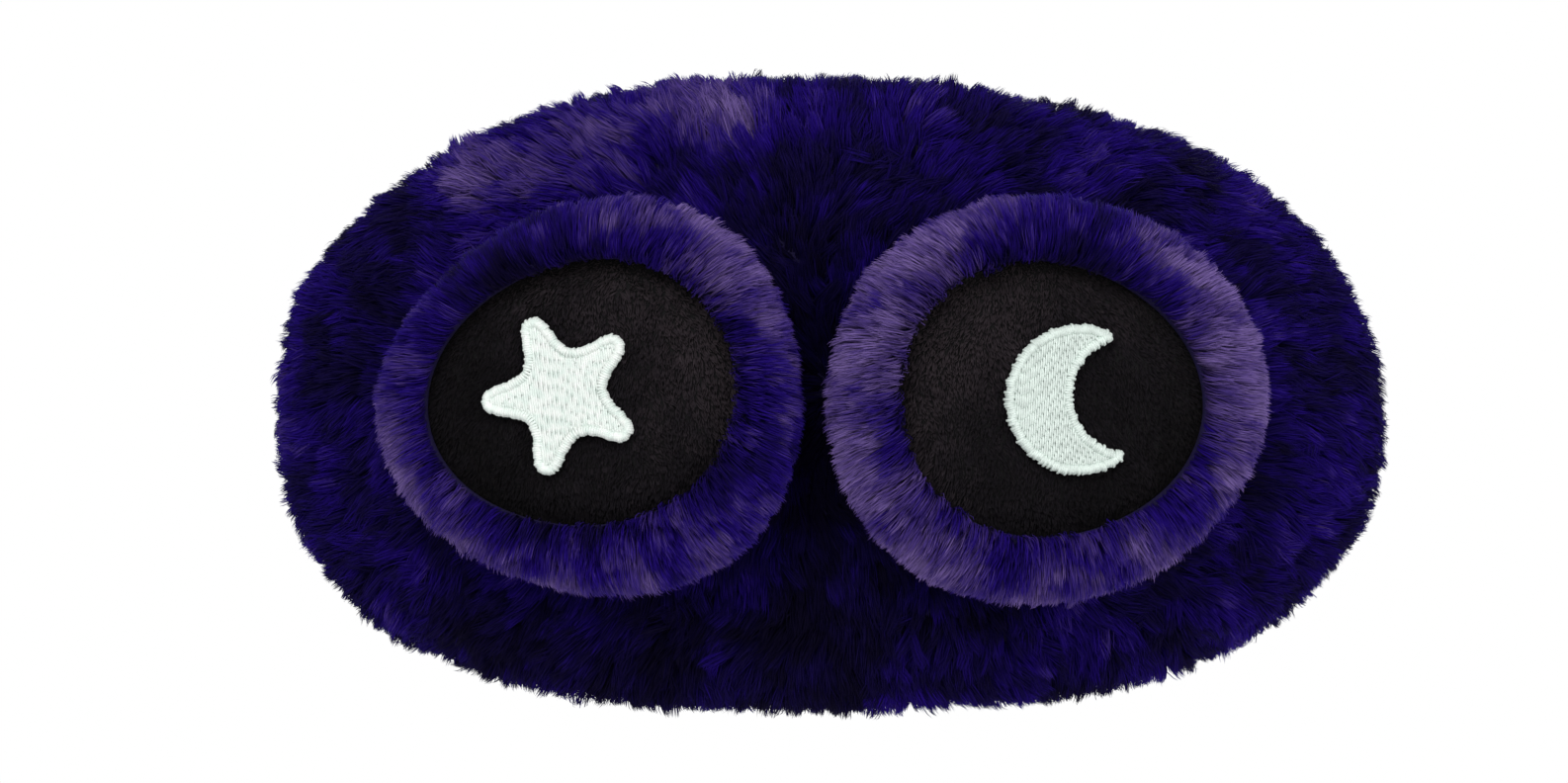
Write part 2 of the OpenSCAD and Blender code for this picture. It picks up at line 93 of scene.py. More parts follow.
class FurSettings(bpy.types.PropertyGroup):
    """Pile of the mask's body and of the rings round the eye pads"""

    body_pile: length_of("Body pile", "Length of the body's hairs", 6.6 * MM)
    pad_pile: length_of("Pad pile", "Length of the hairs round the pads", 5.5 * MM)
    body_depth: length_of("Body root depth", "How deep the body's hairs are rooted", 3.5 * MM)
    pad_depth: length_of("Pad root depth", "How deep the pads' hairs are rooted", 2.7 * MM)
    lip: length_of("Lip", "How far the pads' fur rolls in over their discs", 1.5 * MM)
    hair_width: length_of("Hair width", "Width of one lock of hairs at its root", 0.22 * MM)
    body_tuft: length_of("Body tuft", "Distance between the body's tufts", 1.7 * MM)
    pad_tuft: length_of("Pad tuft", "Distance between the pads' tufts", 1.3 * MM)
    body_hairs: count_of("Body hairs", "Locks on the body", 160000)
    pad_hairs: count_of("Pad hairs", "Locks on each pad", 52000)
    # The pile's shades, darkest first. Besides the pile's own mottled tone, the dark ones give the
    # painted shade between and under the pads and beside the discs, and violet and silk the
    # painted highlights
    night: colour_of("Night", "Darkest shade of the pile", (0.0025, 0.0014, 0.010))
    navy: colour_of("Navy", "Shaded pile", (0.006, 0.0028, 0.045))
    indigo: colour_of("Indigo", "Main shade of the pile", (0.014, 0.0028, 0.17))
    violet: colour_of("Violet", "Pile that catches the light", (0.070, 0.040, 0.20))
    # Painted highlight: the lightest shade of the pile, where it is painted as catching the light
    silk_highlight: colour_of("Silk", "Silkiest tips", (0.19, 0.125, 0.36))


class DiscSettings(bpy.types.PropertyGroup):
    """Short black plush on the eye pads' faces"""

    nap: length_of("Nap", "Length of the short hairs", 1.5 * MM)
    nap_depth: length_of("Nap root depth", "How deep the short hairs are rooted", 1.0 * MM)
    nap_width: length_of("Nap hair width", "Width of one short hair at its root", 0.2 * MM)
    nap_tuft: length_of("Nap tuft", "Distance between the nap's tufts", 0.9 * MM)
    tuck: length_of("Tuck", "How far the disc's edge lies under the ring's pile", 1.2 * MM)
    nap_hairs: count_of("Nap hairs", "Hairs on each disc", 26000)
    soot: colour_of("Soot", "Darkest shade of the nap", (0.003, 0.0028, 0.0034))
    coal: colour_of("Coal", "Main shade of the nap", (0.0100, 0.0085, 0.0112))
    ash: colour_of("Ash", "Nap that catches the light", (0.036, 0.028, 0.033))


class ThreadSettings(bpy.types.PropertyGroup):
    """Embroidery of the star and the moon, and sewing thread"""

    pitch: length_of("Thread pitch", "Distance between neighbouring stitches", 0.42 * MM)
    star_stitch: length_of("Star stitch", "Length of a stitch in the star's middle", 5.5 * MM)
    moon_stitch: length_of("Moon stitch", "Length of a stitch in the moon's middle", 2.2 * MM)
    seam_stitch: length_of("Seam stitch", "Length of a stitch in the lining's seam", 2.6 * MM)
    mint: colour_of("Mint", "Embroidery thread", (0.825, 0.865, 0.83))
    # Mint shade is the duller random lengths of the star's thread, and the whole of the moon's
    # thread, where it is painted shade
    mint_shade: colour_of("Mint shade", "Thread in its duller lengths", (0.71, 0.80, 0.75))
    # Painted shade: the needled cloth is the darker colour that shows between the stitches, in
    # place of the shade there
    shade_under_stitches: colour_of("Needled cloth", "Shade between the stitches", (0.34, 0.40, 0.37))
    sewing: colour_of("Sewing thread", "Thread of the seams", (0.10, 0.07, 0.22))


class ClothSettings(bpy.types.PropertyGroup):
    """Backings, lining, felt and wadding"""

    knit: colour_of("Knit", "Knitted backing of the fur", (0.006, 0.003, 0.035))
    lining: colour_of("Lining", "Smooth cloth that lies on the face", (0.009, 0.008, 0.012))
    felt: colour_of("Felt", "Felt under the pads", (0.009, 0.004, 0.055))
    blackout: colour_of("Blackout", "Layer that keeps the light out", (0.01, 0.01, 0.01))
    wadding: colour_of("Wadding", "Stuffing", (0.75, 0.75, 0.72))


class StrapSettings(bpy.types.PropertyGroup):
    """Ribbed elastic, ring and slider"""

    ribs: count_of("Ribs", "Ribs across the elastic", 22, least=4)
    rib_rise: length_of("Rib rise", "Height of a rib", 0.09 * MM)
    step: length_of("Step", "Distance between the weave's rows", 0.9 * MM)
    tack: length_of("Tack width", "Width of the zigzag seam over the sewn ends", 2.4 * MM)
    elastic: colour_of("Elastic", "Woven elastic", (0.016, 0.015, 0.019))
    plastic: colour_of("Plastic", "Ring and slider", (0.012, 0.012, 0.014))


class StageSettings(bpy.types.PropertyGroup):
    """Camera, lamps and floor"""

    distance: length_of("Camera distance", "From the mask to the camera", 0.9)
    frame_width: length_of("Frame width", "Width of the picture at the mask", 0.2961)
    shift_x: FloatProperty(name="Shift X", description="Sideways shift", default=-0.0281)
    shift_y: FloatProperty(name="Shift Y", description="Upward shift", default=0.0016)
    floor_drop: length_of("Floor drop", "From the mask's middle down to the floor", 0.4)
    floor: colour_of("Floor", "Colour of the floor", (0.92, 0.92, 0.92))


# ---- Small helpers -------------------------------------------------------------------


def unit(vectors):
    return vectors / np.maximum(np.linalg.norm(vectors, axis=-1, keepdims=True), 1e-12)


def along(vectors, direction):
    """The part of each vector that lies along its direction, as a column."""
    return (vectors * direction).sum(axis=-1, keepdims=True)


def square_to(direction, vectors):
    """The unit directions square to one direction that are nearest to the vectors."""
    return unit(vectors - along(vectors, direction) * direction)


def clouds(points, size, shift, kind=noise.noise):
    """Soft noise from -1 to 1 at each point."""
    return np.array([kind(Vector(p) / size + Vector((shift, 0, 0))) for p in points])


def spread(rng, count, low=-2.0, high=2.0):
    """A column of random numbers round 0, most of them within 1 and none past the ends."""
    return rng.normal(size=(count, 1)).clip(low, high)


def patch(x, z, middle_x, middle_z, reach_x, reach_z):
    """A soft oval patch: 1 in its middle and 0 well outside. All in millimetres."""
    return np.exp(-(((x - middle_x) / reach_x) ** 2) - ((z - middle_z) / reach_z) ** 2)


def sector(angle, middle, reach):
    """A soft sector of a ring, in degrees: 1 in its middle."""
    off = (angle - middle + 180) % 360 - 180
    return np.exp(-((off / reach) ** 2))


def linked(name, data):
    """A new object in the scene."""
    piece = bpy.data.objects.new(name, data)
    bpy.context.scene.collection.objects.link(piece)
    return piece


def select_only(piece):
    for other in list(bpy.context.selected_objects):
        other.select_set(False)
    piece.select_set(True)
    bpy.context.view_layer.objects.active = piece


def edit_all(piece, *steps):
    """Runs operators of edit mode, each given with its settings, on all of a piece."""
    select_only(piece)
    bpy.ops.object.mode_set(mode="EDIT")
    bpy.ops.mesh.select_all(action="SELECT")
    for operator, values in steps:
        operator(**values)
    bpy.ops.object.mode_set(mode="OBJECT")


def turn_outwards(piece):
    edit_all(piece, (bpy.ops.mesh.normals_make_consistent, {"inside": False}))


def apply_modifier(piece, kind, **values):
    select_only(piece)
    modifier = piece.modifiers.new(kind.title(), kind)
    for name, value in values.items():
        setattr(modifier, name, value)
    bpy.ops.object.modifier_apply(modifier=modifier.name)


def merged_copy(node, name, levels=0):
    """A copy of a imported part, its corners merged, its faces squared and, by levels, rounded."""
    piece = linked(name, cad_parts[node].data.copy())
    piece.data.materials.clear()
    select_only(piece)
    bpy.ops.mesh.customdata_custom_splitnormals_clear()
    square = {"face_threshold": math.radians(60), "shape_threshold": math.radians(80)}
    edit_all(
        piece,
        (bpy.ops.mesh.remove_doubles, {"threshold": WELD}),
        (bpy.ops.mesh.tris_convert_to_quads, square),
    )
    if levels:
        packed = corners_of(piece)
        apply_modifier(piece, "SUBSURF", levels=levels, render_levels=levels)
        rounded = corners_of(piece)
        middle = (packed.min(axis=0) + packed.max(axis=0)) / 2
        grown = np.ptp(packed, axis=0) / np.ptp(rounded, axis=0)
        rounded_middle = (rounded.min(axis=0) + rounded.max(axis=0)) / 2
        move_corners(piece, (rounded - rounded_middle) * grown + middle)
    bpy.ops.object.shade_smooth()
    return piece


def read(members, field, width, kind=np.float32):
    """One field of every member of a mesh's list, as rows of a given width."""
    values = np.empty(len(members) * width, kind)
    members.foreach_get(field, values)
    return values.reshape(-1, width)


def corners_of(piece):
    return read(piece.data.vertices, "co", 3).astype(float)


def normals_of(piece):
    return read(piece.data.vertex_normals, "vector", 3).astype(float)


def move_corners(piece, points):
    piece.data.vertices.foreach_set("co", points.astype(np.float32).ravel())
    piece.data.update()


def repeated(name, corners, loops, starts, map_name, places):
    """One smooth piece of many copies of a shape, each with its own corners and map.

    Loops are the shape's faces as a list of corners, and starts are where each face begins.
    Places are the map's, for each loop.
    """
    count, size = corners.shape[:2]
    mesh = bpy.data.meshes.new(name)
    mesh.vertices.add(count * size)
    mesh.vertices.foreach_set("co", corners.astype(np.float32).ravel())
    own_loops = np.arange(count)[:, None] * size + loops
    own_starts = np.arange(count)[:, None] * len(loops) + starts
    mesh.loops.add(own_loops.size)
    mesh.loops.foreach_set("vertex_index", own_loops.ravel().astype(np.int32))
    mesh.polygons.add(own_starts.size)
    mesh.polygons.foreach_set("loop_start", own_starts.ravel().astype(np.int32))
    mesh.update(calc_edges=True)
    mesh.validate()
    mesh.polygons.foreach_set("use_smooth", np.ones(own_starts.size, bool))
    layer = mesh.uv_layers.new(name=map_name)
    layer.data.foreach_set("uv", places.astype(np.float32).ravel())
    return linked(name, mesh)


def surface_tree(node):
    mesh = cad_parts[node].data
    faces = [face.vertices for face in mesh.polygons]
    return BVHTree.FromPolygons([corner.co for corner in mesh.vertices], faces)


def point_tree(points):
    tree = kdtree.KDTree(len(points))
    for index, point in enumerate(points):
        tree.insert(point, index)
    tree.balance()
    return tree


def gap_to(points, tree):
    return np.array([tree.find_nearest(Vector(p))[3] for p in points])


def pressed_on(piece, spots):
    """Places and normals where spots, given as x and z, lie on a piece's back."""
    tree = BVHTree.FromObject(piece, bpy.context.evaluated_depsgraph_get())
    ahead = Vector((0, -1, 0))
    hits = [tree.ray_cast(Vector((x, 0.1, z)), ahead)[:2] for x, z in spots]
    if any(place is None for place, _ in hits):
        raise RuntimeError(f"a seam misses {piece.name}")
    return np.array([place for place, _ in hits]), np.array([normal for _, normal in hits])


def dress(piece, finish, body, slot, *nodes):
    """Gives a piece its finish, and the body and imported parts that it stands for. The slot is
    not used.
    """
    piece.data.materials.clear()
    piece.data.materials.append(finish)
    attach(piece, body)
    if nodes:
        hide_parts(*nodes)
    return piece


# ---- Finishes ------------------------------------------------------------------------


def times(factor, colour):
    return tuple(factor * c for c in colour)


def grey(level):
    return (level,) * 3


class Finish:
    """A material that is built node by node round one shader."""

    def __init__(self, name, **sockets):
        self.material = bpy.data.materials.get(name) or bpy.data.materials.new(name)
        self.material.use_nodes = True
        self.tree = self.material.node_tree
        self.tree.nodes.clear()
        self.shader = self.add("BsdfPrincipled")
        output = self.add("OutputMaterial")
        self.join(self.shader.outputs[0], output.inputs["Surface"])
        for socket, value in sockets.items():
            self.shader.inputs[socket.replace("_", " ")].default_value = value

    def add(self, kind, **values):
        """A node. Capitalised values are its sockets, the rest are its settings."""
        node = self.tree.nodes.new(f"ShaderNode{kind}")
        for name, value in values.items():
            if name[0].isupper():
                node.inputs[name.replace("_", " ")].default_value = value
            else:
                setattr(node, name, value)
        return node

    def join(self, source, target):
        self.tree.links.new(source, target)

    def place(self, scale=(1, 1, 1), turn=(0, 0, 0), uv=None):
        """Coordinates on the object, or on one of its UV maps, scaled and turned."""
        if uv:
            source = self.add("UVMap", uv_map=uv).outputs["UV"]
        else:
            source = self.add("TexCoord").outputs["Object"]
        mapping = self.add("Mapping", Scale=scale, Rotation=turn)
        self.join(source, mapping.inputs["Vector"])
        return mapping.outputs["Vector"]

    def texture(self, kind, place=None, **values):
        """A noise, wave or checker texture, on the object's own coordinates by default."""
        node = self.add(f"Tex{kind}", **values)
        self.join(self.place() if place is None else place, node.inputs["Vector"])
        return node.outputs["Fac"]

    def ramp(self, source, *stops):
        """Colours over a value, each stop being (place, colour)."""
        node = self.add("ValToRGB")
        elements = node.color_ramp.elements
        for index, (place, colour) in enumerate(stops):
            element = elements[index] if index < 2 else elements.new(place)
            element.position = place
            element.color = (*colour, 1)
        self.join(source, node.inputs["Fac"])
        return node.outputs["Color"]

    def combine(self, first, second, kind="ADD"):
        """Two values added or multiplied."""
        node = self.add("Math", operation=kind)
        self.join(first, node.inputs[0])
        self.join(second, node.inputs[1])
        return node.outputs[0]

    def colour(self, source, shade=None):
        """The surface's colour, darkened by a shade if one is given."""
        if shade is not None:
            node = self.add("Mix", data_type="RGBA", blend_type="MULTIPLY", Factor=1.0)
            self.join(source, node.inputs["A"])
            self.join(shade, node.inputs["B"])
            source = node.outputs["Result"]
        self.join(source, self.shader.inputs["Base Color"])

    def rough(self, source, low, high):
        node = self.add("MapRange", To_Min=low, To_Max=high)
        self.join(source, node.inputs["Value"])
        self.join(node.outputs["Result"], self.shader.inputs["Roughness"])

    def bump(self, source, distance, strength):
        node = self.add("Bump", Strength=strength, Distance=distance)
        self.join(source, node.inputs["Height"])
        self.join(node.outputs["Normal"], self.shader.inputs["Normal"])


def pile_finish(name, shades, root, sheen, sheen_tint):
    """Hairs: their map's U picks the shade, and V runs from root to tip."""
    tint = (*sheen_tint, 1)
    finish = Finish(name, Sheen_Weight=sheen, Sheen_Tint=tint, Specular_IOR_Level=0.03)
    hair_map = finish.add("UVMap", uv_map=PILE_MAP)
    split = finish.add("SeparateXYZ")
    finish.join(hair_map.outputs["UV"], split.inputs["Vector"])
    last = len(shades) - 1
    shade = finish.ramp(split.outputs["X"], *[(i / last, c) for i, c in enumerate(shades)])
    # Painted shade: each hair is darker towards its root, as shade deep in the pile, and lightest
    # at its tip
    stops = ((0.0, grey(root)), (1.0, grey(1)), (0.55, grey(0.86)))
    finish.colour(shade, finish.ramp(split.outputs["Y"], *stops))
    finish.rough(split.outputs["Y"], 0.8, 0.55)
    strands = finish.place((SHADES, 2, 1), uv=PILE_MAP)
    fibres = finish.texture("Wave", strands, Scale=2.0, Distortion=1.5, Detail=2.0)
    finish.bump(fibres, 0.02 * MM, 0.4)
    return finish.material


def fur_finish(fur, name, root, sheen, sheen_tint):
    shades = (fur.night, fur.navy, fur.indigo, fur.violet, fur.silk_highlight)
    return pile_finish(name, shades, root, sheen, sheen_tint)


def cloth_finish(name, colour, weave, sheen, rough_low, rough_high):
    """Plain weave: two crossed sets of threads, weave apart, over a soft change of shade."""
    finish = Finish(name, Sheen_Weight=sheen, Specular_IOR_Level=0.35)
    warp, weft = (
        finish.texture("Wave", bands_direction=way, Scale=WAVE_BAND / weave, Distortion=0.4)
        for way in "XZ"
    )
    threads = finish.combine(warp, weft, "MULTIPLY")
    worn = finish.texture("Noise", Scale=60.0, Detail=4.0)
    base = finish.ramp(worn, (0.3, times(0.7, colour)), (0.7, times(1.4, colour)))
    # Painted shade: the cloth is darker in the hollows between its threads
    finish.colour(base, finish.ramp(threads, (0.0, grey(0.7)), (0.6, grey(1))))
    finish.rough(threads, rough_high, rough_low)
    finish.bump(threads, 0.06 * MM, 0.7)
    return finish.material


def fleece_finish(name, colour, grain, sheen=0.0):
    """Matted fibres, as in wadding and felt."""
    finish = Finish(name, Sheen_Weight=sheen, Specular_IOR_Level=0.2)
    clumps = finish.texture("Noise", Scale=1 / (6 * grain), Detail=3.0)
    hairs = finish.texture("Noise", Scale=1 / grain, Detail=6.0, Distortion=2.5)
    mixed = finish.combine(clumps, hairs, "MULTIPLY")
    light = tuple(min(1.0, 1.15 * c) for c in colour)
    finish.colour(finish.ramp(mixed, (0.1, times(0.6, colour)), (0.45, light)))
    finish.rough(hairs, 0.95, 0.75)
    finish.bump(hairs, 0.4 * grain, 0.6)
    return finish.material


def thread_finish(name, light, darker_thread):
    """Twisted thread. The stitch's own map runs round it and along it."""
    finish = Finish(name, Sheen_Weight=0.15, Specular_IOR_Level=0.35)
    coil = finish.place((3, 1, 1), turn=(0, 0, 0.6), uv=STITCH_MAP)
    twist = finish.texture("Wave", coil, Scale=2.4, Distortion=0.6)
    dye = finish.texture("Noise", Scale=700.0, Detail=3.0)
    base = finish.ramp(dye, (0.35, darker_thread), (0.62, light))
    # Painted shade: the thread is darker in the grooves of its twist
    finish.colour(base, finish.ramp(twist, (0.0, grey(0.9)), (0.5, grey(1))))
    finish.rough(twist, 0.62, 0.42)
    finish.bump(twist, 0.03 * MM, 0.5)
    return finish.material


def sewing_finish(thread):
    return thread_finish("sewing_thread", thread.sewing, times(0.6, thread.sewing))


def elastic_finish(colour):
    """Woven elastic. The band's own map counts rows along it and ribs across it."""
    finish = Finish("black_elastic", Sheen_Weight=0.06, Specular_IOR_Level=0.3)
    weave = finish.place(uv=STITCH_MAP)
    rows = finish.texture("Wave", weave, bands_direction="X", Scale=WAVE_BAND)
    picks = finish.combine(rows, finish.texture("Checker", weave, Scale=1.0), "MULTIPLY")
    fluff = finish.texture("Noise", Scale=900.0, Detail=4.0)
    # Painted shade: the elastic is darker in the low places of its weave
    base = finish.ramp(picks, (0.0, times(0.55, colour)), (0.8, times(1.7, colour)))
    finish.colour(base, finish.ramp(fluff, (0.3, grey(0.75)), (0.7, grey(1.15))))
    finish.rough(fluff, 0.55, 0.85)
    finish.bump(finish.combine(picks, rows), 0.06 * MM, 0.6)
    return finish.material


def plastic_finish(colour):
    """Moulded satin plastic with a faint orange peel and fine rubs."""
    finish = Finish("black_plastic", Specular_IOR_Level=0.5, Coat_Weight=0.2, Coat_Roughness=0.3)
    peel = finish.texture("Noise", Scale=900.0, Detail=2.0)
    rubs = finish.texture("Noise", finish.place((1, 1, 9)), Scale=260.0, Detail=5.0)
    finish.colour(finish.ramp(rubs, (0.35, colour), (0.75, times(2.2, colour))))
    finish.rough(rubs, 0.3, 0.5)
    finish.bump(peel, 0.01 * MM, 0.25)
    return finish.material


# ---- Pile ----------------------------------------------------------------------------

# Places along a hair, and its width at each but the tip as a share of its root's
HAIR_STEPS = (0.0, 0.4, 0.75, 1.0)
HAIR_TAPER = (1.0, 0.9, 0.6)
HAIR_LOOPS = np.array([0, 1, 3, 2, 2, 3, 5, 4, 4, 5, 6])
HAIR_STARTS = np.array([0, 4, 8])
HAIR_SIDES = np.array([-0.4, 0.4, -0.4, 0.4, -0.4, 0.4, 0.0])
HAIR_DROOP = 0.36  # How far a hair bends back down by its tip, as a share of its climb
# How far tufts stray from each other, and the hairs from their tuft: shares or radians
TUFT_SWIRL, TUFT_STRAY, TUFT_LENGTH, TUFT_SHADE = 1.6, 0.3, 0.16, 0.045
TUFT_WAVE, TUFT_LIFT = np.radians(12), np.radians(5)
HAIR_STRAY, HAIR_LENGTH, HAIR_SHADE = 0.16, 0.12, 0.055
HAIR_LIFT, HAIR_ROLL = np.radians(6), np.radians(30)
EDGE_GATHER = 0.85  # How far the tips draw together where the skin is seen edge on
ROOT_CLEARANCE = 0.7 * MM
LEAST_ROOT = 0.3 * MM


class Skin:
    """The outer faces of a piece: their corners, smooth normals and the room under them."""

    def __init__(self, piece, under, least_room, bare):
        piece.data.calc_loop_triangles()
        corners = read(piece.data.loop_triangles, "vertices", 3, np.int32)
        self.points = corners_of(piece)
        self.normals = normals_of(piece)
        self.room = gap_to(self.points, surface_tree(under))
        keep = self.room[corners].min(axis=1) > least_room
        keep &= ~bare(self.points[corners].mean(axis=1), self.normals[corners].mean(axis=1))
        self.faces = corners[keep]
        a, b, c = (self.points[self.faces[:, i]] for i in range(3))
        self.area = np.linalg.norm(np.cross(b - a, c - a), axis=1) / 2

    def scatter(self, count, rng):
        """Points spread evenly over the faces, with their normals and room."""
        share = np.cumsum(self.area) / self.area.sum()
        face = self.faces[np.searchsorted(share, rng.random(count))]
        root, side = np.sqrt(rng.random(count)), rng.random(count)
        weights = np.stack([1 - root, root * (1 - side), root * side], axis=1)[:, :, None]
        points = (self.points[face] * weights).sum(axis=1)
        normals = unit((self.normals[face] * weights).sum(axis=1))
        return points, normals, (self.room[face] * weights[:, :, 0]).sum(axis=1)


def outward(points, middle, front):
    """Directions away from a middle, square to the front."""
    return square_to(front, points - middle)


def combed(points, normals, middle, front, droop):
    """Directions along a surface that lead outwards from its middle, over its edge and down."""
    out = outward(points, middle, front)
    way = along(normals, front) * out - along(normals, out) * front - droop * UPWARDS
    return square_to(normals, way)


def hair_line(root, normal, way, length, lift, fall, step):
    """Places at one step of each hair. Fall is how far the skin drops over a metre, squared."""
    reach = length * np.cos(lift) * step
    climb = length * np.sin(lift) * (step - HAIR_DROOP * step * step) - fall * reach**2
    return root + reach * way + climb * normal


def grow_pile(
    skin, count, rng, pile, depth, width, tuft, comb, shade, lift, ruffle, gather, spiked=0.0
):
    """Hairs in tufts whose tips draw together, more so at a spiked skin's edges.

    Returns their corners, shades and roots.
    """
    points, normals, room = skin.scatter(count, rng)
    tufts = max(8, int(skin.area.sum() / tuft**2))
    heads, head_normals, head_room = skin.scatter(tufts, rng)
    calm = np.clip(along(head_normals, FRONT), 0.25, 1)
    # Vector noise starts from the clock, so the tufts swirl a little differently in each run
    swirl = clouds(heads, 7 * tuft, 3.1, noise.noise_vector)
    head_way = comb(heads, head_normals) + TUFT_SWIRL * calm * ruffle * swirl
    head_way = head_way + TUFT_STRAY * ruffle * rng.normal(size=heads.shape)
    head_way = square_to(head_normals, head_way)
    head_length = pile * (1 + TUFT_LENGTH * spread(rng, tufts))
    waves = TUFT_WAVE * clouds(heads, 6 * tuft, 13.0)[:, None]
    head_lift = lift(heads, head_normals)[:, None] + waves + TUFT_LIFT * spread(rng, tufts)
    head_shade = shade(heads, head_normals) + TUFT_SHADE * rng.normal(size=tufts)

    surface = BVHTree.FromPolygons(skin.points.tolist(), skin.faces.tolist())
    look = 0.75 * pile
    ahead = heads + look * head_way
    below = np.array([surface.find_nearest(Vector(p))[0] for p in ahead])
    head_fall = along(ahead - below, head_normals).clip(0, None) / look**2
    tree = point_tree(heads)
    mine = np.array([tree.find(p)[1] for p in points])

    def rooted(place, normal, under):
        wanted = depth(place, normal)
        deep = np.minimum(wanted, np.maximum(under - ROOT_CLEARANCE, LEAST_ROOT))[:, None]
        return place - normal * deep, np.sqrt(deep / wanted[:, None])

    root, short = rooted(points, normals, room)
    head_root, head_short = rooted(heads, head_normals, head_room)
    way = square_to(normals, head_way[mine] + HAIR_STRAY * rng.normal(size=points.shape))
    length = head_length[mine] * short * (1 + HAIR_LENGTH * spread(rng, count, low=-2.5))
    own_lift = head_lift[mine] + HAIR_LIFT * rng.normal(size=(count, 1))
    roll = HAIR_ROLL * rng.normal(size=(count, 1))
    at_edge = spiked * np.clip(1 - np.abs(along(normals, FRONT)) / 0.6, 0, 1)
    lines = []
    for step in HAIR_STEPS:
        own = hair_line(root, normals, way, length, own_lift, head_fall[mine], step)
        head = hair_line(
            head_root[mine], head_normals[mine], head_way[mine],
            (head_length * head_short)[mine], head_lift[mine], head_fall[mine], step,
        )
        pull = (gather + at_edge * (EDGE_GATHER - gather)) * step**1.4
        lines.append(own * (1 - pull) + head * pull)
    corners = []
    for index, taper in enumerate(HAIR_TAPER):
        heading = unit(lines[index + 1] - lines[index])
        facing = normals * np.cos(roll) + np.cross(heading, normals) * np.sin(roll)
        side = unit(np.cross(heading, facing)) * (width * taper / 2)
        corners += [lines[index] - side, lines[index] + side]
    corners.append(lines[-1])
    hair_shade = (head_shade[mine] + HAIR_SHADE * rng.normal(size=count)).clip(0.02, 0.98)
    return np.stack(corners, axis=1), hair_shade, points


def pile_piece(name, corners, shades):
    """One mesh of hairs, each of two quads and a pointed end."""
    column = (np.floor(shades * SHADES) + 0.5) / SHADES
    u = column[:, None] + HAIR_SIDES / SHADES
    v = np.broadcast_to(np.repeat(HAIR_STEPS, 2)[:-1], u.shape)
    places = np.stack([u, v], axis=2)[:, HAIR_LOOPS]
    return repeated(name, corners, HAIR_LOOPS, HAIR_STARTS, PILE_MAP, places)


def pile_pieces(name, parts, pile, middle, finish, slot):
    """A pile as a number of dressed pieces, each an equal share of the way round a middle."""
    corners, shades, roots = pile
    turns = np.arctan2(roots[:, 2] - middle[2], roots[:, 0] - middle[0])
    order = np.argsort(turns, kind="stable")
    for index, part in enumerate(np.array_split(order, parts)):
        lock = pile_piece(f"{name}_{index + 1}", corners[part], shades[part])
        dress(lock, finish, "mask", slot)


def sink(piece, under, depth):
    """Moves a piece's outer skin in under its pile, where there is room for it."""
    points, normals = corners_of(piece), normals_of(piece)
    room = gap_to(points, surface_tree(under))
    deep = np.clip(room - 0.5 * MM, 0, depth(points, normals))[:, None]
    move_corners(piece, points - normals * deep)


def even(value):
    """A value that is the same at every point."""
    return lambda points, normals: np.full(len(points), value)


def to_rim(value, at_rim, middle, front):
    """A value that changes towards a ring's inner rim, where the skin turns to its middle."""

    def at(points, normals):
        inner = np.clip(-along(normals, outward(points, middle, front))[:, 0] / 0.8, 0, 1)
        return value + (at_rim - value) * inner**1.3

    return at


# ---- Stitches ------------------------------------------------------------------------

STITCH_THICKNESS = 0.22  # Of the stitch model, whose half length is 1


def stitch_model():
    """One stitch: half a ring of thread, x along it, y up and z across."""
    bpy.ops.mesh.primitive_torus_add(
        major_segments=12, minor_segments=6, major_radius=1.0, minor_radius=STITCH_THICKNESS
    )
    model = bpy.context.active_object
    cut = {"plane_co": (0, -0.02, 0), "plane_no": (0, 1, 0), "use_fill": True, "clear_inner": True}
    edit_all(model, (bpy.ops.mesh.bisect, cut))
    return model


def sew(name, starts, ends, ups, base, rise, width):
    """Copies of one stitch, each from a start to an end and arched along its up."""
    model = stitch_model()
    shape = corners_of(model)
    loops = read(model.data.loops, "vertex_index", 1, np.int32)[:, 0]
    firsts = read(model.data.polygons, "loop_start", 1, np.int32)[:, 0]
    own_map = read(model.data.uv_layers[0].data, "uv", 2)
    bpy.data.objects.remove(model)
    half = (ends - starts) / 2
    ups = square_to(unit(half), ups)
    aside = unit(np.cross(half, ups))
    rise = np.broadcast_to(np.asarray(rise, float), (len(starts),))[:, None, None]
    points = (
        ((starts + ends) / 2)[:, None, :]
        + shape[None, :, 0:1] * half[:, None, :]
        + (base + shape[None, :, 1:2] * rise) * ups[:, None, :]
        + shape[None, :, 2:3] / STITCH_THICKNESS * (width / 2) * aside[:, None, :]
    )
    piece = repeated(
        name, points, loops, firsts, STITCH_MAP, np.tile(own_map, (len(starts), 1))
    )
    turn_outwards(piece)
    return piece


def welded(node):
    """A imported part's faces, for looking through, with their corners merged."""
    mesh = bmesh.new()
    mesh.from_mesh(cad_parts[node].data)
    bmesh.ops.remove_doubles(mesh, verts=mesh.verts, dist=WELD)
    return mesh


def rim_steps(faces, direction):
    """For each corner on the sharp outer edges of some faces, the next one on the way round."""
    steps = {}
    for face in faces:
        for loop in face.loops:
            if abs(np.dot(loop.link_loop_radial_next.face.normal, direction)) < 0.5:
                steps[loop.vert.index] = loop.link_loop_next.vert.index
    return steps


def walk(steps, start):
    """The corners on one way round, which is taken out of the steps."""
    order = [start]
    while steps[order[-1]] != start:
        order.append(steps.pop(order[-1]))
    steps.pop(order[-1])
    return order


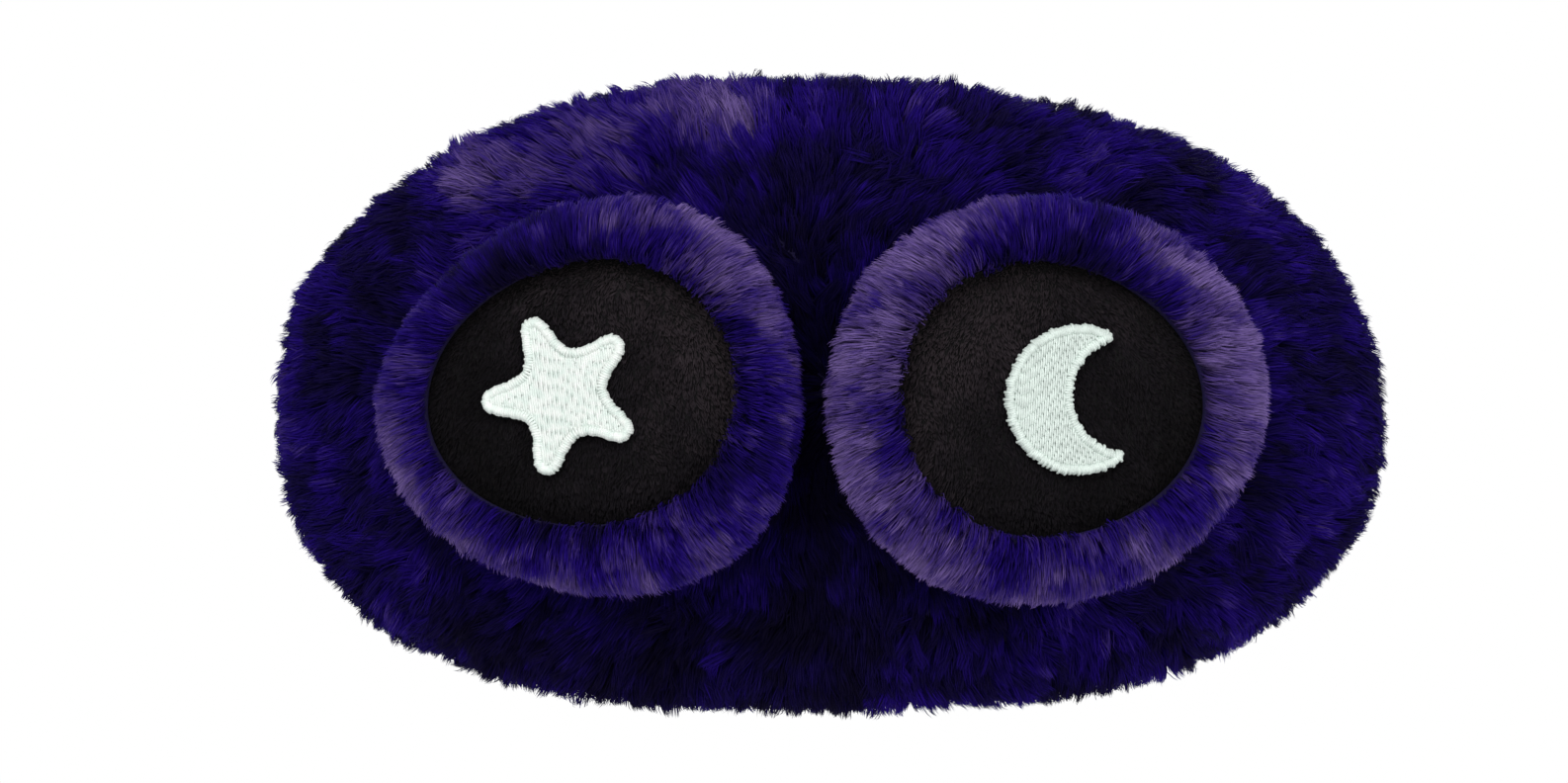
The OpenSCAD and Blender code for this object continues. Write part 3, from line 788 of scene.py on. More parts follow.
class Motif:
    """The flat outer face of a packed motif part: its plane, and its outlines in that plane."""

    def __init__(self, node):
        mesh = welded(node)
        flat = max(mesh.faces, key=lambda face: face.calc_area() if face.normal.y < -0.8 else 0)
        self.normal = np.array(flat.normal)
        self.across = unit(np.cross(UPWARDS, self.normal))
        heights = np.array([np.dot(vert.co, self.normal) for vert in mesh.verts])
        self.base, top = heights.min(), heights.max() - 0.05 * MM
        faces = [face for face in mesh.faces if np.dot(face.normal, self.normal) > 0.999]
        upper = [face for face in faces if np.dot(face.calc_center_median(), self.normal) > top]
        steps = rim_steps(upper, self.normal)
        places = {
            vert.index: np.array((np.dot(vert.co, self.across), vert.co.z))
            for vert in mesh.verts
        }
        self.outlines = []
        while steps:
            order = walk(steps, next(reversed(steps)))
            self.outlines.append(np.array([places[index] for index in order]))
        self.outlines.sort(key=lambda outline: -np.ptp(outline[:, 0]))
        mesh.free()

    def raised(self, points):
        """Points of the plane, as places in space at the foot of the motif."""
        level = self.base * self.normal
        return points[:, 0:1] * self.across + points[:, 1:2] * UPWARDS + level


def run_of(line):
    """How far along a line each of its points lies."""
    return np.concatenate([[0], np.cumsum(np.linalg.norm(np.diff(line, axis=0), axis=1))])


def points_at(places, run, line):
    return np.stack([np.interp(places, run, line[:, i]) for i in range(2)], axis=1)


def even_steps(outline, step):
    """A closed outline in even steps, with the direction of its outer side at each."""
    ring = np.vstack([outline, outline[:1]])
    run = run_of(ring)
    count = max(12, int(round(run[-1] / step)))
    points = points_at(np.arange(count) * run[-1] / count, run, ring)
    heading = unit(np.roll(points, -1, axis=0) - np.roll(points, 1, axis=0))
    heading = unit(heading + np.roll(heading, 1, axis=0) + np.roll(heading, -1, axis=0))
    return points, np.stack([heading[:, 1], -heading[:, 0]], axis=1)


ROW_OFFSET = 0.382  # Of a stitch, from one row to the next, so that no joints line up
STITCH_STRAY = 0.07
SHORTEST_ROW = 0.5 * MM
SHORTEST_END = 0.6 * MM


def fill_rows(outline, pitch, stitch, turn, rng):
    """Ends of the stitches that fill an outline in rows that run in direction turn."""
    heading = np.array((math.cos(turn), math.sin(turn)))
    aside = np.array((-heading[1], heading[0]))
    run, off = outline @ heading, outline @ aside
    next_run, next_off = np.roll(run, -1), np.roll(off, -1)
    starts, ends = [], []
    for index, row in enumerate(np.arange(off.min() + pitch / 2, off.max(), pitch)):
        crosses = (off - row) * (next_off - row) < 0
        share = (row - off[crosses]) / (next_off[crosses] - off[crosses])
        cuts = np.sort(run[crosses] + share * (next_run[crosses] - run[crosses]))
        for low, high in zip(cuts[0::2], cuts[1::2]):
            if high - low < SHORTEST_ROW:
                continue
            joints = np.arange(low - stitch * ((index * ROW_OFFSET) % 1), high, stitch)[1:]
            joints = joints + rng.normal(size=len(joints)) * stitch * STITCH_STRAY
            inside = (joints > low + SHORTEST_END) & (joints < high - SHORTEST_END)
            stops = np.concatenate([[low], joints[inside], [high]])
            for a, b in zip(stops[:-1], stops[1:]):
                starts.append(a * heading + row * aside)
                ends.append(b * heading + row * aside)
    return np.array(starts), np.array(ends)


# ---- Elastic -------------------------------------------------------------------------


def pair_gaps(ring, half):
    return np.linalg.norm(ring[:half] - ring[::-1][:half], axis=1)


def web_line(node):
    """The line along the middle of a packed length of elastic, in plan, and its thickness."""
    mesh = welded(node)
    steps = rim_steps([face for face in mesh.faces if face.normal.z > 0.9], UPWARDS)
    places = {vert.index: tuple(vert.co.xy) for vert in mesh.verts}
    ring = np.array([places[index] for index in walk(steps, next(iter(steps)))])
    mesh.free()
    half = len(ring) // 2
    # The two ends are where the opposite sides, walked together, stay closest to each other
    best = min(range(half), key=lambda k: pair_gaps(np.roll(ring, -k, axis=0), half).max())
    ring = np.roll(ring, -best, axis=0)
    line = (ring[:half] + ring[::-1][:half]) / 2
    return line, float(np.median(pair_gaps(ring, half)))


def smooth_line(line, step):
    """A line in even steps, rounded between its points, and its length."""
    run = run_of(line)
    count = max(2, int(round(run[-1] / step)))
    points = points_at(np.linspace(0, run[-1], count + 1), run, line)
    for _ in range(2):
        points[1:-1] = (points[:-2] + 2 * points[1:-1] + points[2:]) / 4
    return points, run[-1]


def elastic_band(name, node, settings, longer=0.0):
    """A length of ribbed elastic along a packed one, made longer at both ends if asked."""
    low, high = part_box(node)
    line, thickness = web_line(node)
    for end, inner in ((0, 1), (-1, -2)):
        line[end] = line[end] + unit(line[end] - line[inner]) * longer
    points, total = smooth_line(line, settings.step)
    steps = len(points) - 1
    rows = settings.ribs * 4
    bpy.ops.mesh.primitive_grid_add(
        x_subdivisions=steps, y_subdivisions=rows, size=1, calc_uvs=True
    )
    piece = bpy.context.active_object
    piece.name = piece.data.name = name
    place = corners_of(piece)
    index = np.clip(np.round((place[:, 0] + 0.5) * steps).astype(int), 0, steps)
    heading = unit(np.gradient(points, axis=0))
    side = np.stack([-heading[:, 1], heading[:, 0]], axis=1)
    flatter = np.minimum(1, (0.5 - np.abs(place[:, 1])) * settings.ribs)
    rib = settings.rib_rise * np.cos(2 * math.pi * settings.ribs * place[:, 1]) * flatter
    spot = points[index] + side[index] * rib[:, None]
    height = (low.z + high.z) / 2 + place[:, 1] * (high.z - low.z)
    move_corners(piece, np.column_stack([spot, height]))
    layer = piece.data.uv_layers[0]
    layer.name = STITCH_MAP
    own_map = read(layer.data, "uv", 2) * (total / settings.step, settings.ribs)
    layer.data.foreach_set("uv", own_map.astype(np.float32).ravel())
    apply_modifier(
        piece, "SOLIDIFY", thickness=thickness - 2 * settings.rib_rise, offset=0.0
    )
    turn_outwards(piece)
    bpy.ops.object.shade_smooth_by_angle(angle=math.radians(50))
    return piece


# ---- Folds of the stuffed cloth --------------------------------------------------------

PRESSURE = 4.0
FRAMES = 20
FOLD_SIZE = 14 * MM  # The cloth's swelling over more than this is left out
DEEPEST_FOLD = 0.9 * MM
HELD = 1 * MM  # Cloth this close to an anchor doesn't move
FREE = 7 * MM  # Past this much further it moves freely


class Folds:
    """Folds and dimples that the stuffing presses into a part's cloth, from a cloth simulation.

    They fade out towards the anchors, which are the parts that hold the cloth in place.
    """

    def __init__(self, nodes, anchors, voxel):
        self.anchors = [surface_tree(node) for node in anchors]
        shell = self.wrapped(nodes, voxel)
        before, normals = corners_of(shell), normals_of(shell)
        self.press(shell)
        moved = along(corners_of(shell) - before, normals)
        bpy.data.objects.remove(shell)
        self.places = point_tree(before)
        near = [[f[1] for f in self.places.find_range(place, FOLD_SIZE)] for place in before]
        folds = moved - np.array([moved[members].mean(axis=0) for members in near])
        self.moves = normals * np.clip(folds, -DEEPEST_FOLD, DEEPEST_FOLD)

    def wrapped(self, nodes, voxel):
        """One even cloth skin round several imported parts."""
        parts = [merged_copy(node, "shell") for node in nodes]
        select_only(parts[0])
        for part in parts:
            part.select_set(True)
        bpy.ops.object.join()
        apply_modifier(parts[0], "REMESH", mode="VOXEL", voxel_size=voxel)
        return parts[0]

    def press(self, shell):
        """Blows the cloth up from inside, without its weight."""
        select_only(shell)
        cloth = shell.modifiers.new("Cloth", "CLOTH")
        cloth.settings.use_pressure = True
        cloth.settings.uniform_pressure_force = PRESSURE
        cloth.settings.effector_weights.gravity = 0.0
        cloth.point_cache.frame_end = FRAMES
        for number in range(1, FRAMES + 1):
            bpy.context.scene.frame_set(number)
        bpy.ops.object.modifier_apply(modifier=cloth.name)
        bpy.context.scene.frame_set(1)

    def lay(self, piece):
        """Gives the folds to one of the part's layers."""
        points = corners_of(piece)
        held = np.min([gap_to(points, tree) for tree in self.anchors], axis=0)
        free = np.clip((held - HELD) / FREE, 0, 1)[:, None]
        moves = []
        for point in points:
            found = self.places.find_n(point, 5)
            weights = np.array([1 / (far + 1 * MM) for _, _, far in found])[:, None]
            near = self.moves[[index for _, index, _ in found]]
            moves.append((near * weights).sum(axis=0) / weights.sum())
        move_corners(piece, points + free * np.array(moves))


# The layers of each padded part, the parts that hold its cloth, and the shell's voxel
PADDED = {
    "body": (
        ("front_fur_panel", "body_wadding", "blackout_interlining", "face_lining"),
        (
            "left_pad_fur", "right_pad_fur", "left_pad_felt", "right_pad_felt",
            "left_strap", "right_strap",
        ),
        4 * MM,
    ),
}
for side in ("left", "right"):
    PADDED[f"{side}_pad"] = (
        (f"{side}_pad_fur", f"{side}_pad_filling", f"{side}_eye_disc", f"{side}_pad_felt"),
        (f"{side}_eye_disc", "front_fur_panel"),
        3 * MM,
    )
found_folds = {}


def fold(piece, part):
    """Lays a padded part's folds in one of its layers."""
    if part not in found_folds:
        found_folds[part] = Folds(*PADDED[part])
    found_folds[part].lay(piece)


# ---- Pieces --------------------------------------------------------------------------

# Lighter and darker patches of the body's pile, most of them painted light and shade: painted
# highlights at the upper left, where the body bulges up to the light, and painted shade between
# and under the pads. How much, then the middle's x and z and the reach in x and z, in millimetres
BODY_LIGHT_AND_SHADE = (
    (0.50, -56, 41, 15, 7), (0.42, -21, 51, 20, 7), (0.10, -40, 47, 30, 9), (0.10, 68, 40, 12, 10),
    (0.06, 50, -51, 20, 7), (0.24, 81, -30, 10, 9), (0.16, -94, -24, 8, 12),
    (0.05, -98, 10, 10, 30), (-0.26, -3, -8, 12, 40), (-0.10, -10, -45, 50, 13),
    (-0.14, -50, -46, 18, 9), (-0.07, -82, 28, 12, 12),
)
# Sectors of the rings' outer sides and of their whole width, painted sheen where they are lighter
# and painted shade where they are darker: middle and reach in degrees, and how much lighter
RING_SHEEN_AND_SHADE = {
    "left": (
        ((50, 36, 0.42), (205, 44, 0.52), (262, 26, 0.24), (-68, 16, 0.25)),
        ((55, 24, 0.10), (130, 26, -0.14), (240, 40, -0.08), (-40, 20, 0.10)),
    ),
    "right": (
        ((165, 60, 0.46), (228, 30, 0.28), (15, 44, 0.60), (-45, 25, 0.34), (-80, 20, 0.25)),
        ((75, 20, -0.20), (172, 56, 0.24), (10, 30, 0.14), (-35, 22, -0.08)),
    ),
}
# How far the rim swells, in millimetres, at turns in degrees from the right and upwards
RIM_SWELL = (
    (0, -0.2), (10, -1.4), (30, 1.4), (60, -0.2), (90, 0.0), (100, 0.4), (120, 1.6),
    (140, 2.4), (160, 0.0), (180, -1.2), (200, 1.0), (210, 3.0), (220, 1.9), (240, 0.6),
    (260, -0.2), (290, -0.8), (310, 1.0), (330, 1.8), (340, 0.5), (350, 1.0),
)


def body_shade(points, normals):
    """Shade of the body's pile: painted shade between and under the pads, painted highlights upper
    left.
    """
    x, z = points[:, 0] / MM, points[:, 2] / MM
    shade = 0.30 + 0.26 * clouds(points, 12 * MM, 0.0) + 0.24 * clouds(points, 5 * MM, 7.0)
    for gain, *place in BODY_LIGHT_AND_SHADE:
        shade += gain * patch(x, z, *place)
    return shade


def ring_shade(middle, out_sides, in_sides):
    """Shade of a ring: indigo, with sectors of painted sheen that fade where its side turns from
    the front.
    """

    def shade(points, normals):
        angle = np.degrees(np.arctan2(points[:, 2] - middle[2], points[:, 0] - middle[0]))
        outer = along(normals, outward(points, middle, FRONT))[:, 0]
        ahead = 0.5 + 0.5 * np.clip(0.5 + 1.2 * along(normals, FRONT)[:, 0], 0, 1)
        value = np.full(len(points), 0.45)
        for middle_angle, reach, gain in out_sides:
            value += gain * sector(angle, middle_angle, reach) * (0.64 + 0.26 * outer) * ahead
        for middle_angle, reach, gain in in_sides:
            value += gain * sector(angle, middle_angle, reach)
        # Painted shade: the pile is darker towards the inner rim, beside the disc
        value = np.minimum(value - 0.10 * np.clip(-outer, 0, 1), 0.88)
        return value + 0.26 * clouds(points, 9 * MM, 21.0) + 0.26 * clouds(points, 4 * MM, 2.0)

    return shade


def disc_shade(middle, size, lit_side):
    """Shade of a disc's nap, which catches the light towards one side and the top."""

    def shade(points, normals):
        x = (points[:, 0] - middle[0]) / size.x
        z = (points[:, 2] - middle[2]) / size.z
        drift = 0.20 * clouds(points, 12 * MM, 4.0) + 0.16 * clouds(points, 3.5 * MM, 9.0)
        return 0.52 + 0.60 * lit_side * x + 0.50 * z + drift

    return shade


def swell_rim(piece):
    """Pushes the rim of the mask's skin in or out, as the stuffing has set it."""
    points, normals = corners_of(piece), normals_of(piece)
    turn = np.degrees(np.arctan2(points[:, 2], points[:, 0])) % 360
    push = np.interp(turn, *zip(*RIM_SWELL), period=360)[:, None] * MM
    out = unit(points * (1, 0, 1))
    move_corners(piece, points + push * out * np.clip(along(normals, out), 0, 1) ** 2)


def lower_top(piece, motif, above, drop):
    """Lowers the top of a motif's solid, so that the stitches lie over it."""
    points = corners_of(piece)
    high = along(points, motif.normal) > motif.base + above
    move_corners(piece, points - np.where(high, drop, 0) * motif.normal)


class MASK_OT_body_fur(bpy.types.Operator):
    """Lays the long indigo pile over the front panel's knitted backing"""

    bl_idname = "sleep_mask.body_fur"
    bl_label = "Body Fur"

    def execute(self, context):
        fur = context.scene.mask_fur
        backing = merged_copy("front_fur_panel", "body_backing", 2)
        swell_rim(backing)
        fold(backing, "body")
        feet = [surface_tree("left_pad_felt"), surface_tree("right_pad_felt")]
        skirts = [surface_tree("left_pad_fur"), surface_tree("right_pad_fur")]

        def covered(places, normals):
            near_foot = np.minimum(*[gap_to(places, tree) for tree in feet]) < 1.5 * MM
            near_skirt = np.minimum(*[gap_to(places, tree) for tree in skirts]) < 0.8 * MM
            return near_foot | near_skirt

        skin = Skin(backing, "body_wadding", 1.5 * MM, covered)
        middle = np.array((0.0, 0.0, 2 * MM))
        depth = even(fur.body_depth)
        pile = grow_pile(
            skin, fur.body_hairs, np.random.default_rng(11), fur.body_pile, depth,
            fur.hair_width, fur.body_tuft,
            comb=lambda p, n: combed(p, n, middle, FRONT, 0.28), shade=body_shade,
            lift=even(math.radians(34)), ruffle=0.7, gather=0.5, spiked=1.0,
        )
        finish = fur_finish(fur, "indigo_fur", 0.35, 0.05, (0.12, 0.08, 0.6))
        pile_pieces("body_fur", 5, pile, (0, 0, 0), finish, "indigo_fur")
        sink(backing, "body_wadding", depth)
        knit = fleece_finish("fur_backing", context.scene.mask_cloth.knit, 0.5 * MM)
        dress(backing, knit, "mask", "indigo_fur", "front_fur_panel")
        return {"FINISHED"}


class MASK_OT_pad_fur(bpy.types.Operator):
    """Lays the violet pile over both eye pads' rings"""

    bl_idname = "sleep_mask.pad_fur"
    bl_label = "Eye Pad Fur"

    def execute(self, context):
        fur = context.scene.mask_fur
        finish = fur_finish(fur, "violet_fur", 0.3, 0.06, (0.3, 0.2, 0.7))
        knit = fleece_finish("fur_backing", context.scene.mask_cloth.knit, 0.5 * MM)
        seat = surface_tree("front_fur_panel")
        for number, side in enumerate(("left", "right")):
            node = f"{side}_pad_fur"
            backing = merged_copy(node, f"{side}_pad_backing", 2)
            low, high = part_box(f"{side}_eye_disc")
            middle = np.array((low + high) / 2)
            front = Motif("star_fill" if side == "left" else "moon_fill").normal
            depth = to_rim(fur.pad_depth, 0.35 * fur.pad_depth, middle, front)
            points, normals = corners_of(backing), normals_of(backing)
            rolled = to_rim(0.0, fur.lip, middle, front)(points, normals)[:, None]
            move_corners(backing, points - rolled * outward(points, middle, front))
            fold(backing, f"{side}_pad")
            skin = Skin(
                backing, f"{side}_pad_filling", 1.8 * MM, lambda p, n: gap_to(p, seat) < 0.9 * MM
            )
            pile = grow_pile(
                skin, fur.pad_hairs, np.random.default_rng(31 + number), fur.pad_pile, depth,
                fur.hair_width, fur.pad_tuft,
                comb=lambda p, n: combed(p, n, middle, front, 0.22),
                shade=ring_shade(middle, *RING_SHEEN_AND_SHADE[side]),
                lift=to_rim(math.radians(30), math.radians(20), middle, front),
                ruffle=0.2, gather=0.45,
            )
            pile_pieces(f"{side}_pad_pile", 2, pile, middle, finish, "violet_fur")
            sink(backing, f"{side}_pad_filling", depth)
            dress(backing, knit, "mask", "violet_fur", node)
        return {"FINISHED"}


class MASK_OT_eye_discs(bpy.types.Operator):
    """Covers both eye discs in short black plush"""

    bl_idname = "sleep_mask.eye_discs"
    bl_label = "Eye Discs"

    def execute(self, context):
        disc = context.scene.mask_disc
        colours = (disc.soot, disc.coal, disc.ash)
        finish = pile_finish("black_plush", colours, 0.4, 0.1, (0.5, 0.42, 0.42))
        ground = fleece_finish("plush_ground", disc.soot, 0.3 * MM)
        depth = even(disc.nap_depth)
        for number, (side, lit_side) in enumerate((("left", 1), ("right", -1))):
            node = f"{side}_eye_disc"
            filling = f"{side}_pad_filling"
            backing = merged_copy(node, f"{side}_disc_ground", 2)
            low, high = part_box(node)
            size = high - low
            middle = np.array((low + high) / 2)
            self.tuck_under(backing, middle, disc.tuck)
            skin = Skin(backing, filling, 0.0, lambda p, n: along(n, FRONT)[:, 0] < 0.3)
            above = middle + 60 * MM * UPWARDS
            corners, shades, _ = grow_pile(
                skin, disc.nap_hairs, np.random.default_rng(51 + number), disc.nap, depth,
                disc.nap_width, disc.nap_tuft,
                comb=lambda p, n: combed(p, n, above, FRONT, 0.6),
                shade=disc_shade(middle, size, lit_side), lift=even(math.radians(50)),
                ruffle=0.5, gather=0.35,
            )
            nap = pile_piece(f"{side}_disc_nap", corners, shades)
            dress(nap, finish, "mask", "black_plush")
            sink(backing, filling, depth)
            dress(backing, ground, "mask", "black_plush", node)
        return {"FINISHED"}

    def tuck_under(self, backing, middle, reach):
        """Takes the cloth's edge in under the ring, as its seam allowance lies."""
        points = corners_of(backing)
        off = (points - middle) * (1, 0, 1)
        far = np.linalg.norm(off, axis=1)
        turn = np.degrees(np.arctan2(off[:, 2], off[:, 0])) + 180
        edge = np.zeros(361)
        np.maximum.at(edge, np.round(turn).astype(int), far)
        share = far / np.interp(turn, np.arange(361)[edge > 0], edge[edge > 0])
        rim = np.clip((share - 0.93) / 0.07, 0, 1)[:, None]
        move_corners(backing, points + rim * (reach * unit(off) - 0.45 * reach * FRONT))


class MASK_OT_embroidery(bpy.types.Operator):
    """Embroiders the star and the moon: filled middles and satin stitched borders"""

    bl_idname = "sleep_mask.embroidery"
    bl_label = "Star and Moon"

    BORDER_WIDTH = 1.3 * MM
    OVERLAP = 0.22 * MM  # How far the border's stitches reach in over the middle

    def execute(self, context):
        thread = context.scene.mask_thread
        # Painted shade: the moon is sewn in a darker copy of the star's mint thread, the shade
        # among its stitches painted into its colour
        darker_mint_shade = times(0.85, thread.mint_shade)
        bright = thread_finish("mint_thread", thread.mint, thread.mint_shade)
        darker_thread = thread_finish("shaded_mint_thread", thread.mint_shade, darker_mint_shade)
        # Painted shade: the motifs' grounds under the stitches are painted darker, as shade
        # between the stitches
        shaded = thread_finish("painted_stitch_shade", thread.shade_under_stitches, times(0.6, thread.shade_under_stitches))
        rng = np.random.default_rng(71)
        # Finish, direction and length of the middle's stitches, their fullness, and how
        # uneven the border is
        motifs = {
            "star": (bright, math.radians(97), thread.star_stitch, 1.15, 0.10 * MM),
            "moon": (darker_thread, math.radians(86), thread.moon_stitch, 1.05, 0.20 * MM),
        }
        for motif, (finish, turn, stitch, fullness, uneven) in motifs.items():
            fill, border = Motif(f"{motif}_fill"), Motif(f"{motif}_border")
            ground = merged_copy(f"{motif}_fill", f"{motif}_ground")
            dress(ground, shaded, "mask", "mint_thread", f"{motif}_fill")
            lower_top(ground, fill, 0.4 * MM, 0.45 * MM)
            starts, ends = fill_rows(fill.outlines[0], thread.pitch, stitch, turn, rng)
            middles = sew(
                f"{motif}_fill_stitches", fill.raised(starts), fill.raised(ends), fill.normal,
                base=0.45 * MM, rise=0.38 * MM + 0.10 * MM * rng.random(len(starts)),
                width=fullness * thread.pitch,
            )
            dress(middles, finish, "mask", "mint_thread")
            core = merged_copy(f"{motif}_border", f"{motif}_cord")
            dress(core, finish, "mask", "mint_thread", f"{motif}_border")
            lower_top(core, border, 0.7 * MM, 0.75 * MM)
            edge, out = even_steps(border.outlines[0], thread.pitch)
            wander = uneven * spread(rng, len(edge), -1.5, 1.5)
            outer = edge + out * (0.10 * MM + wander)
            inner = edge - out * (self.BORDER_WIDTH + self.OVERLAP - 0.5 * wander)
            satin = sew(
                f"{motif}_satin_stitches", border.raised(outer), border.raised(inner),
                border.normal, base=0.1 * MM,
                rise=1.05 * MM + 0.06 * MM * rng.random(len(edge)), width=1.3 * thread.pitch,
            )
            dress(satin, finish, "mask", "mint_thread")
        return {"FINISHED"}


class MASK_OT_lining(bpy.types.Operator):
    """Sews the smooth lining over the mask's back"""

    bl_idname = "sleep_mask.lining"
    bl_label = "Lining"

    SEAM = 0.925  # Of the way from the middle to the edge
    ROUNDNESS = 2 / 2.3  # Of the seam's line: 1 is an oval, and less is squarer

    def execute(self, context):
        thread = context.scene.mask_thread
        lining = merged_copy("face_lining", "lining", 3)
        fold(lining, "body")
        low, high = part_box("face_lining")
        size = high - low
        half = np.array((size.x / 2, size.z / 2))
        self.crease(lining, half)
        colour = context.scene.mask_cloth.lining
        finish = cloth_finish("black_lining", colour, 0.45 * MM, 0.08, 0.42, 0.7)
        dress(lining, finish, "mask", "black_lining", "face_lining")
        places, ups = pressed_on(lining, self.seam_line(half * self.SEAM, thread.seam_stitch))
        ends = np.roll(places, -1, axis=0)
        gap = (ends - places) * 0.14
        row = sew(
            "lining_topstitch", places + gap, ends - gap, ups,
            base=-0.08 * MM, rise=0.34 * MM, width=0.42 * MM,
        )
        dress(row, sewing_finish(thread), "mask", "black_lining")
        return {"FINISHED"}

    def crease(self, lining, half):
        """Puckers along the seam, and soft creases in the middle."""
        points, normals = corners_of(lining), normals_of(lining)
        x, z = points[:, 0] / half[0], points[:, 2] / half[1]
        out = np.sqrt(x**2 + z**2)
        turn = np.arctan2(z, x)
        at_seam = np.exp(-(((out - 0.93) / 0.10) ** 2))
        puckers = np.sin(46 * turn + 2.0 * np.sin(5 * turn)) * at_seam
        creases = clouds(points * (1, 1, 0.55), 11 * MM, 5.0) * (1 - np.clip(out, 0, 1) ** 4)
        rise = (0.22 * puckers + 0.35 * creases)[:, None] * MM
        move_corners(lining, points - FRONT * np.clip(normals[:, 1:2], 0, 1) * rise)

    def seam_line(self, half, stitch):
        """Spots of the stitches round the lining, a little inside its edge."""
        turns = np.linspace(0, 2 * math.pi, 721)[:-1]
        around = np.stack([np.cos(turns), np.sin(turns)], axis=1)
        return even_steps(half * np.sign(around) * np.abs(around) ** self.ROUNDNESS, stitch)[0]


class MASK_OT_stuffing(bpy.types.Operator):
    """Fills the mask and its pads, and puts the hidden layers in"""

    bl_idname = "sleep_mask.stuffing"
    bl_label = "Stuffing and Hidden Layers"

    def execute(self, context):
        cloth = context.scene.mask_cloth
        wool = fleece_finish("white_wadding", cloth.wadding, 0.9 * MM, 0.1)
        felt = fleece_finish("indigo_felt", cloth.felt, 0.4 * MM)
        blackout = cloth_finish("blackout_cloth", cloth.blackout, 0.35 * MM, 0.1, 0.6, 0.8)
        # How full each filling is, and how far it keeps back from its cloth
        for node, name, part, fill, back in (
            ("body_wadding", "body_stuffing", "body", 0.7, 0.1 * MM),
            ("left_pad_filling", "left_pad_stuffing", "left_pad", 0.8, 1.3 * MM),
            ("right_pad_filling", "right_pad_stuffing", "right_pad", 0.8, 1.3 * MM),
        ):
            piece = merged_copy(node, name, 1)
            fold(piece, part)
            points, normals = corners_of(piece), normals_of(piece)
            lumps = 0.12 * MM * clouds(points, 6 * MM, 1.0)[:, None] - back
            move_corners(piece, points + normals * lumps)
            dress(piece, wool, "mask", "white_wadding", node)
        # What each layer lies on, and its area as a share of its box
        hidden = (
            ("blackout_interlining", "blackout_layer", blackout, "blackout_cloth",
             "body_stuffing", 0.86),
            ("left_pad_felt", "left_felt", felt, "indigo_felt", "body_backing", 0.82),
            ("right_pad_felt", "right_felt", felt, "indigo_felt", "body_backing", 0.82),
        )
        for node, name, finish, slot, under, share in hidden:
            piece = merged_copy(node, name, 1)
            fold(piece, "body")
            dress(piece, finish, "mask", slot, node)
        return {"FINISHED"}


class MASK_OT_straps(bpy.types.Operator):
    """Runs the ribbed elastic round the head and through the ring and slider"""

    bl_idname = "sleep_mask.straps"
    bl_label = "Elastic Strap"

    MEET = 0.15 * MM  # How much longer the return is at each end, so that no gap shows
    TACK_HEIGHT = 9.3 * MM
    TACK_STITCHES = 24

    def execute(self, context):
        strap = context.scene.mask_strap
        finish = elastic_finish(strap.elastic)
        sewing = sewing_finish(context.scene.mask_thread)
        left = elastic_band("left_elastic", "left_strap", strap)
        dress(left, finish, "mask", "black_elastic", "left_strap")
        right = elastic_band("right_elastic", "right_strap", strap)
        dress(right, finish, "mask", "black_elastic", "right_strap")
        for name, band, end in (
            ("left_tack", left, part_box("left_strap")[0].x),
            ("right_tack", right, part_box("right_strap")[1].x),
        ):
            dress(self.tack(name, band, end, strap.tack), sewing, "mask", "black_elastic")
        loop = elastic_band("slider_elastic", "slider_fold", strap)
        dress(loop, finish, "slider", "black_elastic", "slider_fold")
        middle = elastic_band("return_elastic", "strap_return", strap, longer=self.MEET)
        middle.data.materials.append(finish)
        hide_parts("strap_return")
        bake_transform(middle)
        return {"FINISHED"}

    def tack(self, name, band, end, width):
        """Zigzag stitches across the sewn end of an elastic, from bottom to top."""
        rows = [end - math.copysign(off, end) for off in (0.9 * MM, 0.9 * MM + width)]
        heights = np.linspace(-self.TACK_HEIGHT, self.TACK_HEIGHT, self.TACK_STITCHES + 1)
        spots = [(rows[index % 2], height) for index, height in enumerate(heights)]
        places, ups = pressed_on(band, spots)
        return sew(
            name, places[:-1], places[1:], ups[:-1],
            base=-0.06 * MM, rise=0.3 * MM, width=0.4 * MM,
        )


class MASK_OT_hardware(bpy.types.Operator):
    """Finishes the strap's ring and slider in satin plastic"""

    bl_idname = "sleep_mask.hardware"
    bl_label = "Ring and Slider"

    def execute(self, context):
        finish = plastic_finish(context.scene.mask_strap.plastic)
        for node in ("strap_ring", "strap_slider"):
            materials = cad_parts[node].data.materials
            for index in range(len(materials)):
                materials[index] = finish
        return {"FINISHED"}


